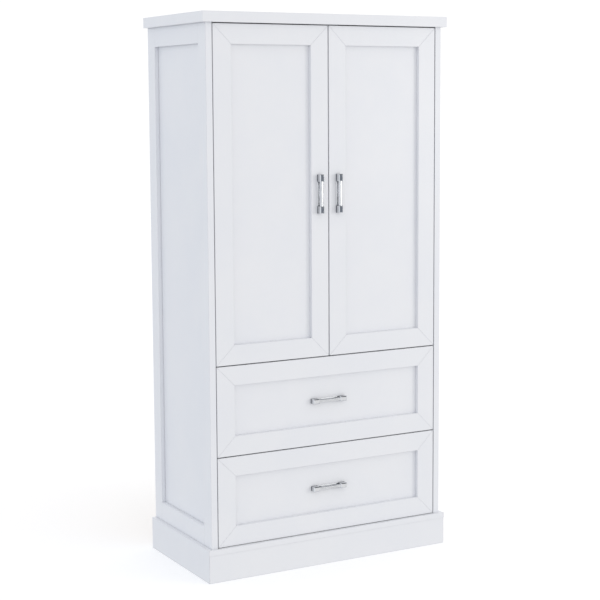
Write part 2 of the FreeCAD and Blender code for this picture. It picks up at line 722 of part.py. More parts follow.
def drawer_runner_screws(level):
    """Screws that hold a left drawer member to the drawer's side."""
    x = -HALF_INSIDE + RUNNER_DEPTH - SCREW_HEAD[1]
    heads = [(x, BOARDS_FRONT + y, level) for y in DRAWER_MEMBER_SCREWS]
    return [screw(head, (1, 0, 0), DRAWER_SCREW_LENGTH) for head in heads]


def front_fixing_screws(front_bottom):
    """Screws from inside the drawer box into the stiles of its front."""
    y = FRONT_BACK_FACE + BOX_BOARD
    low = front_bottom + BOX_LIFT + BOX_SCREW_EDGE
    high = front_bottom + BOX_LIFT + BOX_HEIGHT - BOX_SCREW_EDGE
    places = [(x, z) for x in (-BOX_SCREW_X, BOX_SCREW_X) for z in (low, high)]
    return [screw((x, y, z), (0, -1, 0), BOX_SCREW_LENGTH) for x, z in places]


def drawer_box(front_bottom):
    """Sides, ends and bottom of a drawer, behind its front."""
    z0 = front_bottom + BOX_LIFT
    z1 = z0 + BOX_HEIGHT
    half = HALF_INSIDE - RUNNER_DEPTH
    y0, y1 = FRONT_BACK_FACE, FRONT_BACK_FACE + BOX_LENGTH
    inner, end = half - BOX_BOARD, BOX_BOARD - BOX_GROOVE_DEEP
    reach = inner + BOX_GROOVE_DEEP
    floor = z0 + BOX_GROOVE_UP
    bottom = box(-reach, reach, y0 + end, y1 - end, floor, floor + BOX_BOTTOM)
    side = box(-half, -inner, y0, y1, z0, z1)
    front_end = box(-inner, inner, y0, y0 + BOX_BOARD, z0, z1)
    back_end = box(-inner, inner, y1 - BOX_BOARD, y1, z0, z1)
    return {
        "sides": [s.cut(bottom) for s in both_sides(side)],
        "box_ends": [e.cut(bottom) for e in (front_end, back_end)],
        "bottom": [bottom],
    }


def build_drawer(name, front_bottom):
    """Saves every node of one drawer and of its runners' moving members."""
    half = HALF_INSIDE - SIDE_GAP
    pieces = framed_front(-half, half, front_bottom, front_bottom + DRAWER_FRONT_HEIGHT)
    centre = front_bottom + DRAWER_FRONT_HEIGHT / 2
    recess = FRONT_THICKNESS - INSET_PANEL
    grip = handle(0.0, centre, False)
    for piece in grip:
        piece.translate(Vector(0, recess, 0))
    inside_y = FRONT_BACK_FACE + BOX_BOARD
    level = front_bottom + RUNNER_LEVEL
    screws = handle_screws(0.0, centre, False, inside_y, FRONT_Y + recess)
    screws += front_fixing_screws(front_bottom)
    screws += [s for left in drawer_runner_screws(level) for s in both_sides(left)]
    holes = Part.makeCompound(screws)
    members = [pieces[side].cut(holes) for side in ("left", "right", "bottom", "top")]
    save(f"{name}_drawer_front_frame", *members)
    save(f"{name}_drawer_front_panel", pieces["panel"].cut(holes))
    save(f"{name}_drawer_handle", *grip)
    save(f"{name}_drawer_screws", *screws)
    for piece, shapes in drawer_box(front_bottom).items():
        save(f"{name}_drawer_{piece}", *[shape.cut(holes) for shape in shapes])
    save(f"{name}_runner_middle_members", *both_sides(middle_member(level)))
    save(f"{name}_runner_drawer_members", *both_sides(drawer_member(level)))


def build_drawers():
    """Saves both drawers, the cabinet members and the screws of the carcass."""
    build_drawer("lower", LOWER_FRONT_BOTTOM)
    build_drawer("upper", UPPER_FRONT_BOTTOM)
    members = [s for level in runner_levels() for s in both_sides(cabinet_member(level))]
    save("runner_cabinet_members", *members)
    fixings = [*plate_screws().Solids, *cabinet_runner_screws()]
    save("carcass_screws", *[s for fixing in fixings for s in both_sides(fixing)])


def main():
    """Builds the whole armoire."""
    os.makedirs("parts", exist_ok=True)
    build_carcass()
    build_doors()
    build_drawers()


main()
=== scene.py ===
"""Armoire in sprayed white board, dressed over its packed design model.

Everything is in metres, in the design's own frame: +Z up, the doors and drawers facing -Y, the
origin on the floor under the middle of the piece. The boards stay as designed and take their
finishes here. The handles, hinges, screws, bumpers and the runners' balls are new surfaces, worked
out with numpy as rings of points that are carried along a path or round an axis.
"""

import json
import logging
import math
from dataclasses import dataclass, field
from enum import Enum
from typing import Any, Iterable, Sequence, Union

import bpy
import numpy as np
from mathutils import Matrix, Vector


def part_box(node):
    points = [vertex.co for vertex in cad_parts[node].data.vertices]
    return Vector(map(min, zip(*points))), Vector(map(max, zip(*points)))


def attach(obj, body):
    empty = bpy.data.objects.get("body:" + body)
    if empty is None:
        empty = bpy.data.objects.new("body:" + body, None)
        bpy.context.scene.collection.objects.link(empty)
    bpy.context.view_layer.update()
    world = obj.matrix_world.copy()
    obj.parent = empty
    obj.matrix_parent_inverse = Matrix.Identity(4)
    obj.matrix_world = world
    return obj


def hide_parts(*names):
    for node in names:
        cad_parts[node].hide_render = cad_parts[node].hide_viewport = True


LOG = logging.getLogger("armoire")

Colour = tuple[float, float, float]
Place = tuple[float, float, float]
Number = Union[float, "Wire"]

MM = 0.001
X, Y, Z = (1, 0, 0), (0, 1, 0), (0, 0, 1)
FORWARD = (0, -1, 0)
HINGE_LEVELS = (0.720, 1.0925, 1.465)


class Side(Enum):
    """Which half of the armoire a piece belongs to; the value is the sign of its X."""

    LEFT = -1
    RIGHT = 1

    @property
    def word(self) -> str:
        """The side's name as it stands in body and node names."""
        return self.name.lower()


class Level(Enum):
    """Which of the two drawers a piece belongs to."""

    UPPER = "upper"
    LOWER = "lower"


class Lie(Enum):
    """Which way a handle's bar runs."""

    UPRIGHT = "upright"
    LEVEL = "level"


class Drive(Enum):
    """The head that a screw has."""

    COUNTERSUNK = "countersunk"
    PAN = "pan"


# ---- Shader nodes ----


class Wire:
    """One output of a shader node. Arithmetic on it adds Math nodes."""

    def __init__(self, bench: "Bench", socket: bpy.types.NodeSocket) -> None:
        """Wraps a socket of a material being built."""
        self.bench = bench
        self.socket = socket

    def _math(self, operation: str, *terms: Number) -> "Wire":
        """Adds one Math node on these terms."""
        settings = {"operation": operation}
        return self.bench.node("ShaderNodeMath", settings, dict(enumerate(terms)))

    def __add__(self, other: Number) -> "Wire":
        """Sum."""
        return self._math("ADD", self, other)

    __radd__ = __add__

    def __sub__(self, other: Number) -> "Wire":
        """Difference."""
        return self._math("SUBTRACT", self, other)

    def __rsub__(self, other: Number) -> "Wire":
        """Difference with a plain number in front."""
        return self._math("SUBTRACT", other, self)

    def __mul__(self, other: Number) -> "Wire":
        """Product."""
        return self._math("MULTIPLY", self, other)

    __rmul__ = __mul__

    def __gt__(self, other: Number) -> "Wire":
        """1 where this is greater, otherwise 0."""
        return self._math("GREATER_THAN", self, other)

    def ramp(self, low: float, high: float) -> "Wire":
        """Smooth step from 0 at low to 1 at high.

        Args:
            low: value that becomes 0.
            high: value that becomes 1.

        Returns:
            The stepped value, clamped at both ends.
        """
        settings = {"interpolation_type": "SMOOTHSTEP"}
        inputs = {"Value": self, "From Min": low, "From Max": high}
        return self.bench.node("ShaderNodeMapRange", settings, inputs)


class Bench:
    """The node tree of one material or world, with the few calls that build it."""

    def __init__(self, tree: bpy.types.NodeTree) -> None:
        """Starts on an emptied node tree."""
        self.tree = tree
        tree.nodes.clear()

    def node(
        self,
        kind: str,
        settings: dict[str, Any] | None = None,
        inputs: dict[str | int, Any] | None = None,
        output: str | int = 0,
    ) -> Wire:
        """Adds any node.

        Args:
            kind: the node's type.
            settings: properties, set first; "stops" holds a colour ramp's positions and colours.
            inputs: numbers, colours or wires for its sockets, by name or place.
            output: which output to hand back.

        Returns:
            The wire from that output.
        """
        made = self.tree.nodes.new(kind)
        for name, value in (settings or {}).items():
            if name == "stops":
                self._stops(made.color_ramp, value)
            else:
                setattr(made, name, value)
        for name, value in (inputs or {}).items():
            if isinstance(value, Wire):
                self.tree.links.new(value.socket, made.inputs[name])
            else:
                made.inputs[name].default_value = value
        return Wire(self, made.outputs[output] if made.outputs else None)

    @staticmethod
    def _stops(ramp: bpy.types.ColorRamp, stops: Sequence[tuple[float, Colour]]) -> None:
        """Gives a colour ramp its stops."""
        while len(ramp.elements) < len(stops):
            ramp.elements.new(0.5)
        for element, (place, colour) in zip(ramp.elements, stops):
            element.position = place
            element.color = (*colour, 1.0)

    def point(self) -> Wire:
        """The place on the piece, in metres."""
        return self.node("ShaderNodeTexCoord", output="Object")

    def parts(self, vector: Wire) -> tuple[Wire, Wire, Wire]:
        """The three parts of a vector."""
        split = self.node("ShaderNodeSeparateXYZ", inputs={0: vector})
        outputs = split.socket.node.outputs
        return Wire(self, outputs[0]), Wire(self, outputs[1]), Wire(self, outputs[2])

    def stretched(self, vector: Wire, scale: Colour) -> Wire:
        """A vector with each part multiplied."""
        settings = {"operation": "MULTIPLY"}
        return self.node("ShaderNodeVectorMath", settings, {0: vector, 1: scale})

    def dot(self, first: Wire, second: Any) -> Wire:
        """Dot product of two vectors."""
        settings = {"operation": "DOT_PRODUCT"}
        return self.node("ShaderNodeVectorMath", settings, {0: first, 1: second}, "Value")

    def noise(self, vector: Wire, scale: float, detail: float = 2.0, rough: float = 0.5) -> Wire:
        """Smooth noise from 0 to 1.

        Args:
            vector: where it is read.
            scale: cells to the metre.
            detail: octaves added.
            rough: strength of each finer octave.

        Returns:
            The noise value.
        """
        inputs = {"Vector": vector, "Scale": scale, "Detail": detail, "Roughness": rough}
        return self.node("ShaderNodeTexNoise", None, inputs, "Fac")

    def blend(self, share: Number, first: Any, second: Any) -> Wire:
        """Mixes two colours.

        Args:
            share: 0 gives the first colour and 1 the second.
            first: colour or wire.
            second: colour or wire.

        Returns:
            The mixed colour.
        """
        settings = {"data_type": "RGBA", "clamp_factor": True}
        return self.node("ShaderNodeMix", settings, {0: share, 6: first, 7: second}, 2)

    def eased_normal(self, radius: float) -> Wire:
        """Normal that turns smoothly over a sharp edge, as paint does.

        Args:
            radius: the edge's radius in metres.

        Returns:
            The normal.
        """
        return self.node("ShaderNodeBevel", {"samples": 4}, {"Radius": radius})

    def edge_mask(self, normal: Wire) -> Wire:
        """0 on the flat of a board and 1 on its arrises: how far the eased normal turns away.

        Args:
            normal: the eased normal.

        Returns:
            The mask.
        """
        flat = self.node("ShaderNodeNewGeometry", output="Normal")
        return (1.0 - self.dot(normal, flat)).ramp(0.01, 0.22)

    def nook(self, reach: float) -> Wire:
        """0 in the open and 1 deep in a joint or corner: an occlusion mask for shade painted into
        the colour there.

        Args:
            reach: how far off another surface still counts, in metres.

        Returns:
            The mask.
        """
        settings = {"samples": 6, "inside": False, "only_local": False}
        return 1.0 - self.node("ShaderNodeAmbientOcclusion", settings, {"Distance": reach}, "AO")

    def relief(self, height: Wire, depth: float, normal: Wire | None = None) -> Wire:
        """Bump from a height.

        Args:
            height: relief from 0 to 1.
            depth: metres from lowest to highest.
            normal: the normal under it, if it isn't the face's own.

        Returns:
            The bumped normal.
        """
        inputs: dict[str | int, Any] = {"Height": height, "Distance": depth, "Strength": 1.0}
        if normal is not None:
            inputs["Normal"] = normal
        return self.node("ShaderNodeBump", None, inputs)


def rgba(colour: Colour, scale: float = 1.0) -> tuple[float, float, float, float]:
    """A colour with full cover, each of its parts multiplied."""
    red, green, blue = (part * scale for part in colour)
    return (red, green, blue, 1.0)


@dataclass(frozen=True)
class Finish:
    """A finish: its name, and the constants that stand on the shader's own sockets."""

    name: str
    colour: Colour
    roughness: float

    def dress(self, bench: Bench) -> dict[str, Any]:
        """What varies over the surface; each finish has its own."""
        raise NotImplementedError

    def build(self) -> bpy.types.Material:
        """Makes the material.

        Returns:
            The finished material.
        """
        material = bpy.data.materials.new(self.name)
        material.use_nodes = True
        bench = Bench(material.node_tree)
        inputs = {"Base Color": rgba(self.colour), "Roughness": self.roughness}
        inputs.update(self.dress(bench))
        shader = bench.node("ShaderNodeBsdfPrincipled", None, inputs)
        bench.node("ShaderNodeOutputMaterial", None, {"Surface": shader})
        material.diffuse_color = rgba(self.colour)
        return material


@dataclass(frozen=True)
class SprayedBoard(Finish):
    """Semi-matt white lacquer sprayed on fibreboard: orange peel, slow waves, thin arrises, and
    painted shade in its joints.
    """

    under: Colour = (0.70, 0.66, 0.60)
    edge_radius: float = 1.1 * MM
    peel_depth: float = 0.035 * MM
    wear: float = 0.16
    joint_reach: float = 4.0 * MM
    joint_tone: Colour = (0.36, 0.37, 0.40)
    joint_share: float = 0.5
    cloud_tint: Colour = (0.975, 0.98, 0.99)
    dust_tone: Colour = (0.62, 0.62, 0.64)

    def dress(self, bench: Bench) -> dict[str, Any]:
        """Peel from fine noise, clouds from coarse noise, thinner paint on the arrises, and shade
        painted into joints and corners.
        """
        place = bench.point()
        peel = bench.noise(place, 620.0, 3.0, 0.55)
        waves = bench.noise(place, 34.0, 2.0)
        clouds = bench.noise(place, 5.5, 4.0, 0.6)
        dust = bench.noise(place, 1500.0, 1.0)
        eased = bench.eased_normal(self.edge_radius)
        edge = bench.edge_mask(eased)
        worn = edge * bench.noise(place, 90.0, 3.0).ramp(0.35, 0.75) * self.wear
        cooler = tuple(c * s for c, s in zip(self.colour, self.cloud_tint))
        tone = bench.blend(clouds.ramp(0.3, 0.7), rgba(self.colour), rgba(cooler))
        fleck = dust.ramp(0.66, 0.8) * 0.05
        tone = bench.blend(fleck, tone, rgba(self.dust_tone))
        tone = bench.blend(worn, tone, rgba(self.under))
        # Painted shade: the colour darkens towards grey-blue where the occlusion mask finds
        # joints, recesses and corners.
        joint = bench.nook(self.joint_reach) * self.joint_share
        tone = bench.blend(joint, tone, rgba(self.joint_tone))
        gloss = self.roughness + (clouds - 0.5) * 0.10 + (peel - 0.5) * 0.06 + edge * 0.05
        height = peel * 0.62 + waves * 0.30 + dust * 0.08
        return {
            "Base Color": tone,
            "Roughness": gloss,
            "Normal": bench.relief(height, self.peel_depth, eased),
            "IOR": 1.47,
            "Coat Weight": 0.10,
            "Coat Roughness": 0.22,
        }


@dataclass(frozen=True)
class FacedBoard(Finish):
    """Melamine-faced board used inside: a fine leathery press texture and rubbed edges."""

    edge_radius: float = 0.6 * MM
    press_depth: float = 0.03 * MM

    def dress(self, bench: Bench) -> dict[str, Any]:
        """Pressed cells from warped noise, with faint clouding."""
        place = bench.point()
        bend = bench.noise(place, 180.0, 2.0)
        cells = {"Vector": place, "Scale": 900.0, "Smoothness": 0.6}
        pits = bench.node("ShaderNodeTexVoronoi", {"feature": "SMOOTH_F1"}, cells, "Distance")
        clouds = bench.noise(place, 8.0, 3.0, 0.6)
        eased = bench.eased_normal(self.edge_radius)
        edge = bench.edge_mask(eased)
        tone = bench.blend(clouds.ramp(0.3, 0.72), rgba(self.colour), rgba(self.colour, 0.955))
        tone = bench.blend(edge * 0.10, tone, rgba((0.60, 0.58, 0.55)))
        return {
            "Base Color": tone,
            "Roughness": self.roughness + (bend - 0.5) * 0.12 + (clouds - 0.5) * 0.06,
            "Normal": bench.relief(pits * 0.7 + bend * 0.3, self.press_depth, eased),
        }


@dataclass(frozen=True)
class ThinBack(Finish):
    """Thin fibreboard back: white film on the face inside, bare pressed fibres outside."""

    fibre: Colour = (0.40, 0.27, 0.165)
    film_side: float = 0.0
    fibre_depth: float = 0.10 * MM

    def dress(self, bench: Bench) -> dict[str, Any]:
        """Fibres are noise stretched many ways; the film ends at the board's middle plane."""
        place = bench.point()
        _, depth, _ = bench.parts(place)
        outside = depth > self.film_side
        long_fibre = bench.noise(bench.stretched(place, (1.0, 1.0, 0.14)), 420.0, 4.0, 0.65)
        cross_fibre = bench.noise(bench.stretched(place, (0.16, 1.0, 1.0)), 380.0, 4.0, 0.65)
        clouds = bench.noise(place, 6.0, 4.0, 0.6)
        fibres = long_fibre * 0.5 + cross_fibre * 0.5
        bare = bench.blend(fibres.ramp(0.36, 0.64), rgba(self.fibre, 0.62), rgba(self.fibre, 1.35))
        bare = bench.blend(clouds.ramp(0.35, 0.7) * 0.35, bare, rgba(self.fibre))
        film = bench.blend(clouds * 0.05, rgba(self.colour), rgba((0.7, 0.7, 0.7)))
        return {
            "Base Color": bench.blend(outside, film, bare),
            "Roughness": 0.42 + outside * 0.34 + (fibres - 0.5) * 0.12,
            "Normal": bench.relief(fibres * (0.15 + outside * 0.85), self.fibre_depth),
        }


@dataclass(frozen=True)
class BrightPlate(Finish):
    """Bright chromium plate: mirror with faint polishing waves, finger haze and pin marks."""

    haze: float = 0.10
    wave_depth: float = 0.02 * MM

    def dress(self, bench: Bench) -> dict[str, Any]:
        """Haze in broad clouds, with waves too shallow to see except in reflections."""
        place = bench.point()
        clouds = bench.noise(place, 55.0, 4.0, 0.6)
        buff = bench.noise(bench.stretched(place, (1.0, 1.0, 0.25)), 1400.0, 2.0)
        waves = bench.noise(place, 70.0, 1.0)
        smear = clouds.ramp(0.42, 0.72)
        return {
            "Base Color": bench.blend(smear, rgba(self.colour), rgba(self.colour, 0.93)),
            "Roughness": self.roughness + smear * self.haze + (buff - 0.5) * 0.03,
            "Normal": bench.relief(waves * 0.8 + buff * 0.2, self.wave_depth),
            "Metallic": 1.0,
        }


@dataclass(frozen=True)
class PlatedSteel(Finish):
    """Zinc or nickel on pressed steel: rolled grain, spangle and dulled corners."""

    grain: Colour = (1.0, 0.08, 1.0)
    spangle: float = 0.35
    edge_radius: float = 0.35 * MM
    grain_depth: float = 0.015 * MM

    def dress(self, bench: Bench) -> dict[str, Any]:
        """Rolled grain is noise stretched along the strip; spangle is a cell pattern."""
        place = bench.point()
        rolled = bench.noise(bench.stretched(place, self.grain), 1600.0, 3.0, 0.6)
        spots = {"Vector": place, "Scale": 240.0}
        cells = bench.node("ShaderNodeTexVoronoi", None, spots, "Distance")
        clouds = bench.noise(place, 40.0, 4.0, 0.6)
        eased = bench.eased_normal(self.edge_radius)
        edge = bench.edge_mask(eased)
        brighter = rgba(self.colour, 1.25)
        tone = bench.blend(clouds.ramp(0.3, 0.75), rgba(self.colour), rgba(self.colour, 0.72))
        tone = bench.blend(cells * self.spangle, tone, brighter)
        tone = bench.blend(edge * 0.5, tone, brighter)
        return {
            "Base Color": tone,
            "Roughness": self.roughness + (rolled - 0.5) * 0.22 + clouds * 0.10 - edge * 0.06,
            "Normal": bench.relief(rolled, self.grain_depth, eased),
            "Metallic": 1.0,
        }


@dataclass(frozen=True)
class SoftPad(Finish):
    """Cloudy soft bumper, tacky and slightly dusty."""

    dust_tone: Colour = (0.5, 0.49, 0.47)
    dust_depth: float = 0.03 * MM

    def dress(self, bench: Bench) -> dict[str, Any]:
        """Dust gathers in broad patches."""
        place = bench.point()
        dust = bench.noise(place, 700.0, 3.0, 0.6)
        tone = bench.blend(dust.ramp(0.5, 0.7) * 0.3, rgba(self.colour), rgba(self.dust_tone))
        return {
            "Base Color": tone,
            "Roughness": self.roughness + (dust - 0.5) * 0.3,
            "Normal": bench.relief(dust, self.dust_depth),
            "Subsurface Weight": 0.15,
        }


@dataclass(frozen=True)
class StudioFloor(Finish):
    """Pale seamless floor with a very faint roll texture."""

    lift: float = 0.20

    def dress(self, bench: Bench) -> dict[str, Any]:
        """Fine noise only, and a little light of its own so that it stays pale."""
        grain = bench.noise(bench.point(), 60.0, 3.0)
        tone = bench.blend(grain * 0.03, rgba(self.colour), rgba((0.86, 0.86, 0.87)))
        return {
            "Base Color": tone,
            "Roughness": self.roughness + (grain - 0.5) * 0.04,
            "Emission Color": tone,
            "Emission Strength": self.lift,
            "Specular IOR Level": 0.05,
        }


class Paints:
    """Every finish of the armoire, built once."""

    def __init__(self, back_plane: float) -> None:
        """Makes the finishes.

        Args:
            back_plane: Y of the middle of the back panels, where their white film ends.
        """
        # Two copies of one white paint: the side copy is a touch darker and bluer and takes more
        # painted shade in its joints, standing in for the weaker light on the sides.
        front, side = (0.812, 0.818, 0.845), (0.806, 0.815, 0.846)
        self.front = SprayedBoard("sprayed_white_board", front, 0.40, joint_share=0.24).build()
        self.side = SprayedBoard("sprayed_white_side", side, 0.42, joint_share=0.55).build()
        self.inner = FacedBoard("faced_inner_board", (0.80, 0.80, 0.80), 0.46).build()
        film = (0.78, 0.78, 0.78)
        self.back = ThinBack("thin_back_board", film, 0.5, film_side=back_plane).build()
        self.chrome = BrightPlate("bright_chrome_plate", (0.67, 0.68, 0.70), 0.06).build()
        # Dark plate for the handles' pads: painted shade where the handles meet the door and
        # drawer fronts.
        self.dark_plate = BrightPlate("dark_plate", (0.19, 0.20, 0.22), 0.25).build()
        self.zinc = PlatedSteel("zinc_plated_steel", (0.60, 0.61, 0.63), 0.34).build()
        self.nickel = PlatedSteel(
            "nickel_plated_steel", (0.66, 0.64, 0.60), 0.27, grain=(1.0, 1.0, 0.1), spangle=0.1
        ).build()
        self.screw = PlatedSteel(
            "screw_steel_zinc", (0.55, 0.56, 0.58), 0.36, grain=(1.0, 1.0, 1.0), spangle=0.2
        ).build()
        self.pad = SoftPad("soft_bumper", (0.66, 0.66, 0.65), 0.55).build()
        self.floor = StudioFloor("studio_floor", (0.93, 0.93, 0.935), 0.85).build()


# ---- Surfaces made of rings of points ----


def starts(sizes: Sequence[int]) -> np.ndarray:
    """Where each of several runs starts, when they stand one after another."""
    return np.concatenate([[0], np.cumsum(sizes)[:-1]])


@dataclass
class Skin:
    """A closed surface: its points, and its faces of three or four corners."""

    points: np.ndarray
    quads: np.ndarray
    fans: np.ndarray

    @staticmethod
    def of_rings(rings: np.ndarray) -> "Skin":
        """Closes a stack of rings into a skin.

        Neighbouring rings are joined by four-cornered faces. The first and last rings are closed
        by a fan of triangles to the ring's own middle. If the volume comes out negative, every
        face is turned round, so that faces point outwards.

        Args:
            rings: points as (ring, place round the ring, xyz).

        Returns:
            The closed skin.
        """
        count, around, _ = rings.shape
        flat = rings.reshape(-1, 3)
        points = np.vstack([flat, rings[0].mean(axis=0), rings[-1].mean(axis=0)])
        row = np.arange(count - 1)[:, None] * around
        here = np.arange(around)[None, :]
        after = (here + 1) % around
        corners = [row + here, row + after, row + around + after, row + around + here]
        quads = np.stack(corners, axis=-1).reshape(-1, 4)
        here, after = here[0], after[0]
        start = np.full(around, count * around)
        last = (count - 1) * around
        first_fan = np.stack([start, after, here], axis=-1)
        last_fan = np.stack([start + 1, last + here, last + after], axis=-1)
        skin = Skin(points, quads, np.vstack([first_fan, last_fan]))
        return skin if skin.volume() > 0 else skin.turned()

    def volume(self) -> float:
        """Signed volume: the sum over triangles of a . (b x c) / 6."""
        halves = np.vstack([self.quads[:, [0, 1, 2]], self.quads[:, [0, 2, 3]], self.fans])
        a, b, c = (self.points[halves[:, i]] for i in range(3))
        return float(np.einsum("ij,ij->", a, np.cross(b, c)) / 6.0)

    def turned(self) -> "Skin":
        """The same skin with its faces pointing the other way."""
        return Skin(self.points, self.quads[:, ::-1], self.fans[:, ::-1])

    def mirrored(self, sign: int) -> "Skin":
        """The skin with X multiplied by the sign, its faces still pointing outwards."""
        moved = Skin(self.points * np.array([sign, 1, 1]), self.quads, self.fans)
        return moved if sign > 0 else moved.turned()

    def moved(self, x: float = 0.0, y: float = 0.0, z: float = 0.0) -> "Skin":
        """The skin shifted."""
        return Skin(self.points + np.array([x, y, z]), self.quads, self.fans)

    @staticmethod
    def joined(skins: Iterable["Skin"]) -> "Skin":
        """Several skins as one set of points and faces.

        Args:
            skins: the separate closed skins.

        Returns:
            One skin that holds them all.
        """
        listed = list(skins)
        firsts = starts([len(s.points) for s in listed])
        return Skin(
            np.vstack([s.points for s in listed]),
            np.vstack([s.quads + n for s, n in zip(listed, firsts)]),
            np.vstack([s.fans + n for s, n in zip(listed, firsts)]),
        )

    def piece(
        self, name: str, finish: bpy.types.Material, sharp: float = 38.0
    ) -> bpy.types.Object:
        """Puts the skin into a mesh object at the origin.

        Args:
            name: the piece's name.
            finish: its material.
            sharp: edges that turn more than this many degrees stay crisp.

        Returns:
            The linked object.
        """
        mesh = bpy.data.meshes.new(name)
        loops = np.concatenate([self.quads.ravel(), self.fans.ravel()]).astype(np.int32)
        sizes = np.concatenate([np.full(len(self.quads), 4), np.full(len(self.fans), 3)])
        mesh.vertices.add(len(self.points))
        mesh.vertices.foreach_set("co", self.points.astype(np.float32).ravel())
        mesh.loops.add(len(loops))
        mesh.loops.foreach_set("vertex_index", loops)
        mesh.polygons.add(len(sizes))
        mesh.polygons.foreach_set("loop_start", starts(sizes).astype(np.int32))
        mesh.polygons.foreach_set("use_smooth", np.ones(len(sizes), dtype=bool))
        mesh.update(calc_edges=True)
        mesh.validate()
        mesh.set_sharp_from_angle(angle=math.radians(sharp))
        mesh.materials.append(finish)
        made = bpy.data.objects.new(name, mesh)
        bpy.context.scene.collection.objects.link(made)
        return made


def turn(count: int) -> np.ndarray:
    """Angles evenly spaced round a full turn, in radians."""
    return np.arange(count) * (2.0 * math.pi / count)


def squircle(half_x: float, half_y: float, power: float, count: int = 40) -> np.ndarray:
    """Rounded rectangle: each part is the half size times |cos| or |sin| to the power 2 / n.

    Args:
        half_x: half the width.
        half_y: half the height.
        power: n; 2 is an ellipse, and larger is squarer.
        count: points round it.

    Returns:
        Points as (count, 2).
    """
    angle = turn(count)
    c, s = np.cos(angle), np.sin(angle)
    x = half_x * np.sign(c) * np.abs(c) ** (2.0 / power)
    y = half_y * np.sign(s) * np.abs(s) ** (2.0 / power)
    return np.stack([x, y], axis=-1)


def slab_outline(
    half_x: float, half_y: float, corner: float, per_corner: int = 6, grip: float = 0.1 * MM
) -> np.ndarray:
    """Rectangle with quarter-circle corners.

    Each corner is a centre plus the radius times (cos, sin) over its own quarter turn. One more
    point on the straight side, close to each end of the corner, keeps smoothed shading flat there.

    Args:
        half_x: half the width.
        half_y: half the height.
        corner: corner radius.
        per_corner: points on each corner.
        grip: how far the extra points stand from the corner.

    Returns:
        Points as (4 * (per_corner + 2), 2), anticlockwise.
    """
    quarter = np.linspace(0.0, math.pi / 2, per_corner)
    starts = np.arange(4)[:, None] * (math.pi / 2)
    angle = starts + quarter[None, :]
    signs = np.array([[1, 1], [-1, 1], [-1, -1], [1, -1]])
    centres = signs * np.array([half_x - corner, half_y - corner])
    arcs = centres[:, None, :] + corner * circle(angle)
    tangent = circle(angle + math.pi / 2)
    before = arcs[:, :1] - grip * tangent[:, :1]
    after = arcs[:, -1:] + grip * tangent[:, -1:]
    return np.concatenate([before, arcs, after], axis=1).reshape(-1, 2)


def stack(outlines: Sequence[np.ndarray], heights: Sequence[float]) -> np.ndarray:
    """Flat outlines piled at their heights along the third axis, as rings."""
    shape = (len(heights), len(outlines[0]), 1)
    levels = np.broadcast_to(np.asarray(heights)[:, None, None], shape)
    return np.concatenate([np.stack(outlines), levels], axis=-1)


def prism(outline: np.ndarray, low: float, high: float) -> np.ndarray:
    """Rings of one outline carried straight from low to high."""
    return stack([outline, outline], [low, high])


def circle(angle: np.ndarray) -> np.ndarray:
    """Points of the unit circle at these angles: (cos, sin) of each."""
    return np.stack([np.cos(angle), np.sin(angle)], axis=-1)


def lathe(profile: Sequence[tuple[float, float]], count: int = 24) -> np.ndarray:
    """Circles of each radius at each height: a turned shape about the third axis.

    Args:
        profile: (radius, height) from one end to the other.
        count: points round each circle.

    Returns:
        The rings.
    """
    radius, height = np.array(profile).T
    flat = radius[:, None, None] * circle(turn(count))[None]
    levels = np.broadcast_to(height[:, None, None], (len(height), count, 1))
    return np.concatenate([flat, levels], axis=-1)


def aimed(rings: np.ndarray, *axes: Sequence[float]) -> np.ndarray:
    """Rings with their three axes laid along three given directions."""
    return rings @ np.array(axes, dtype=float)


def fitted(
    made: bpy.types.Object, body: str, node: str | None = None
) -> bpy.types.Object:
    """Puts a new piece on its body, in the place of its design node.

    Args:
        made: the piece.
        body: the body that it moves with.
        node: the design node that it stands for, if there is one.

    Returns:
        The same piece.
    """
    if node is not None:
        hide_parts(node)
    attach(made, body)
    return made


# ---- Handles ----


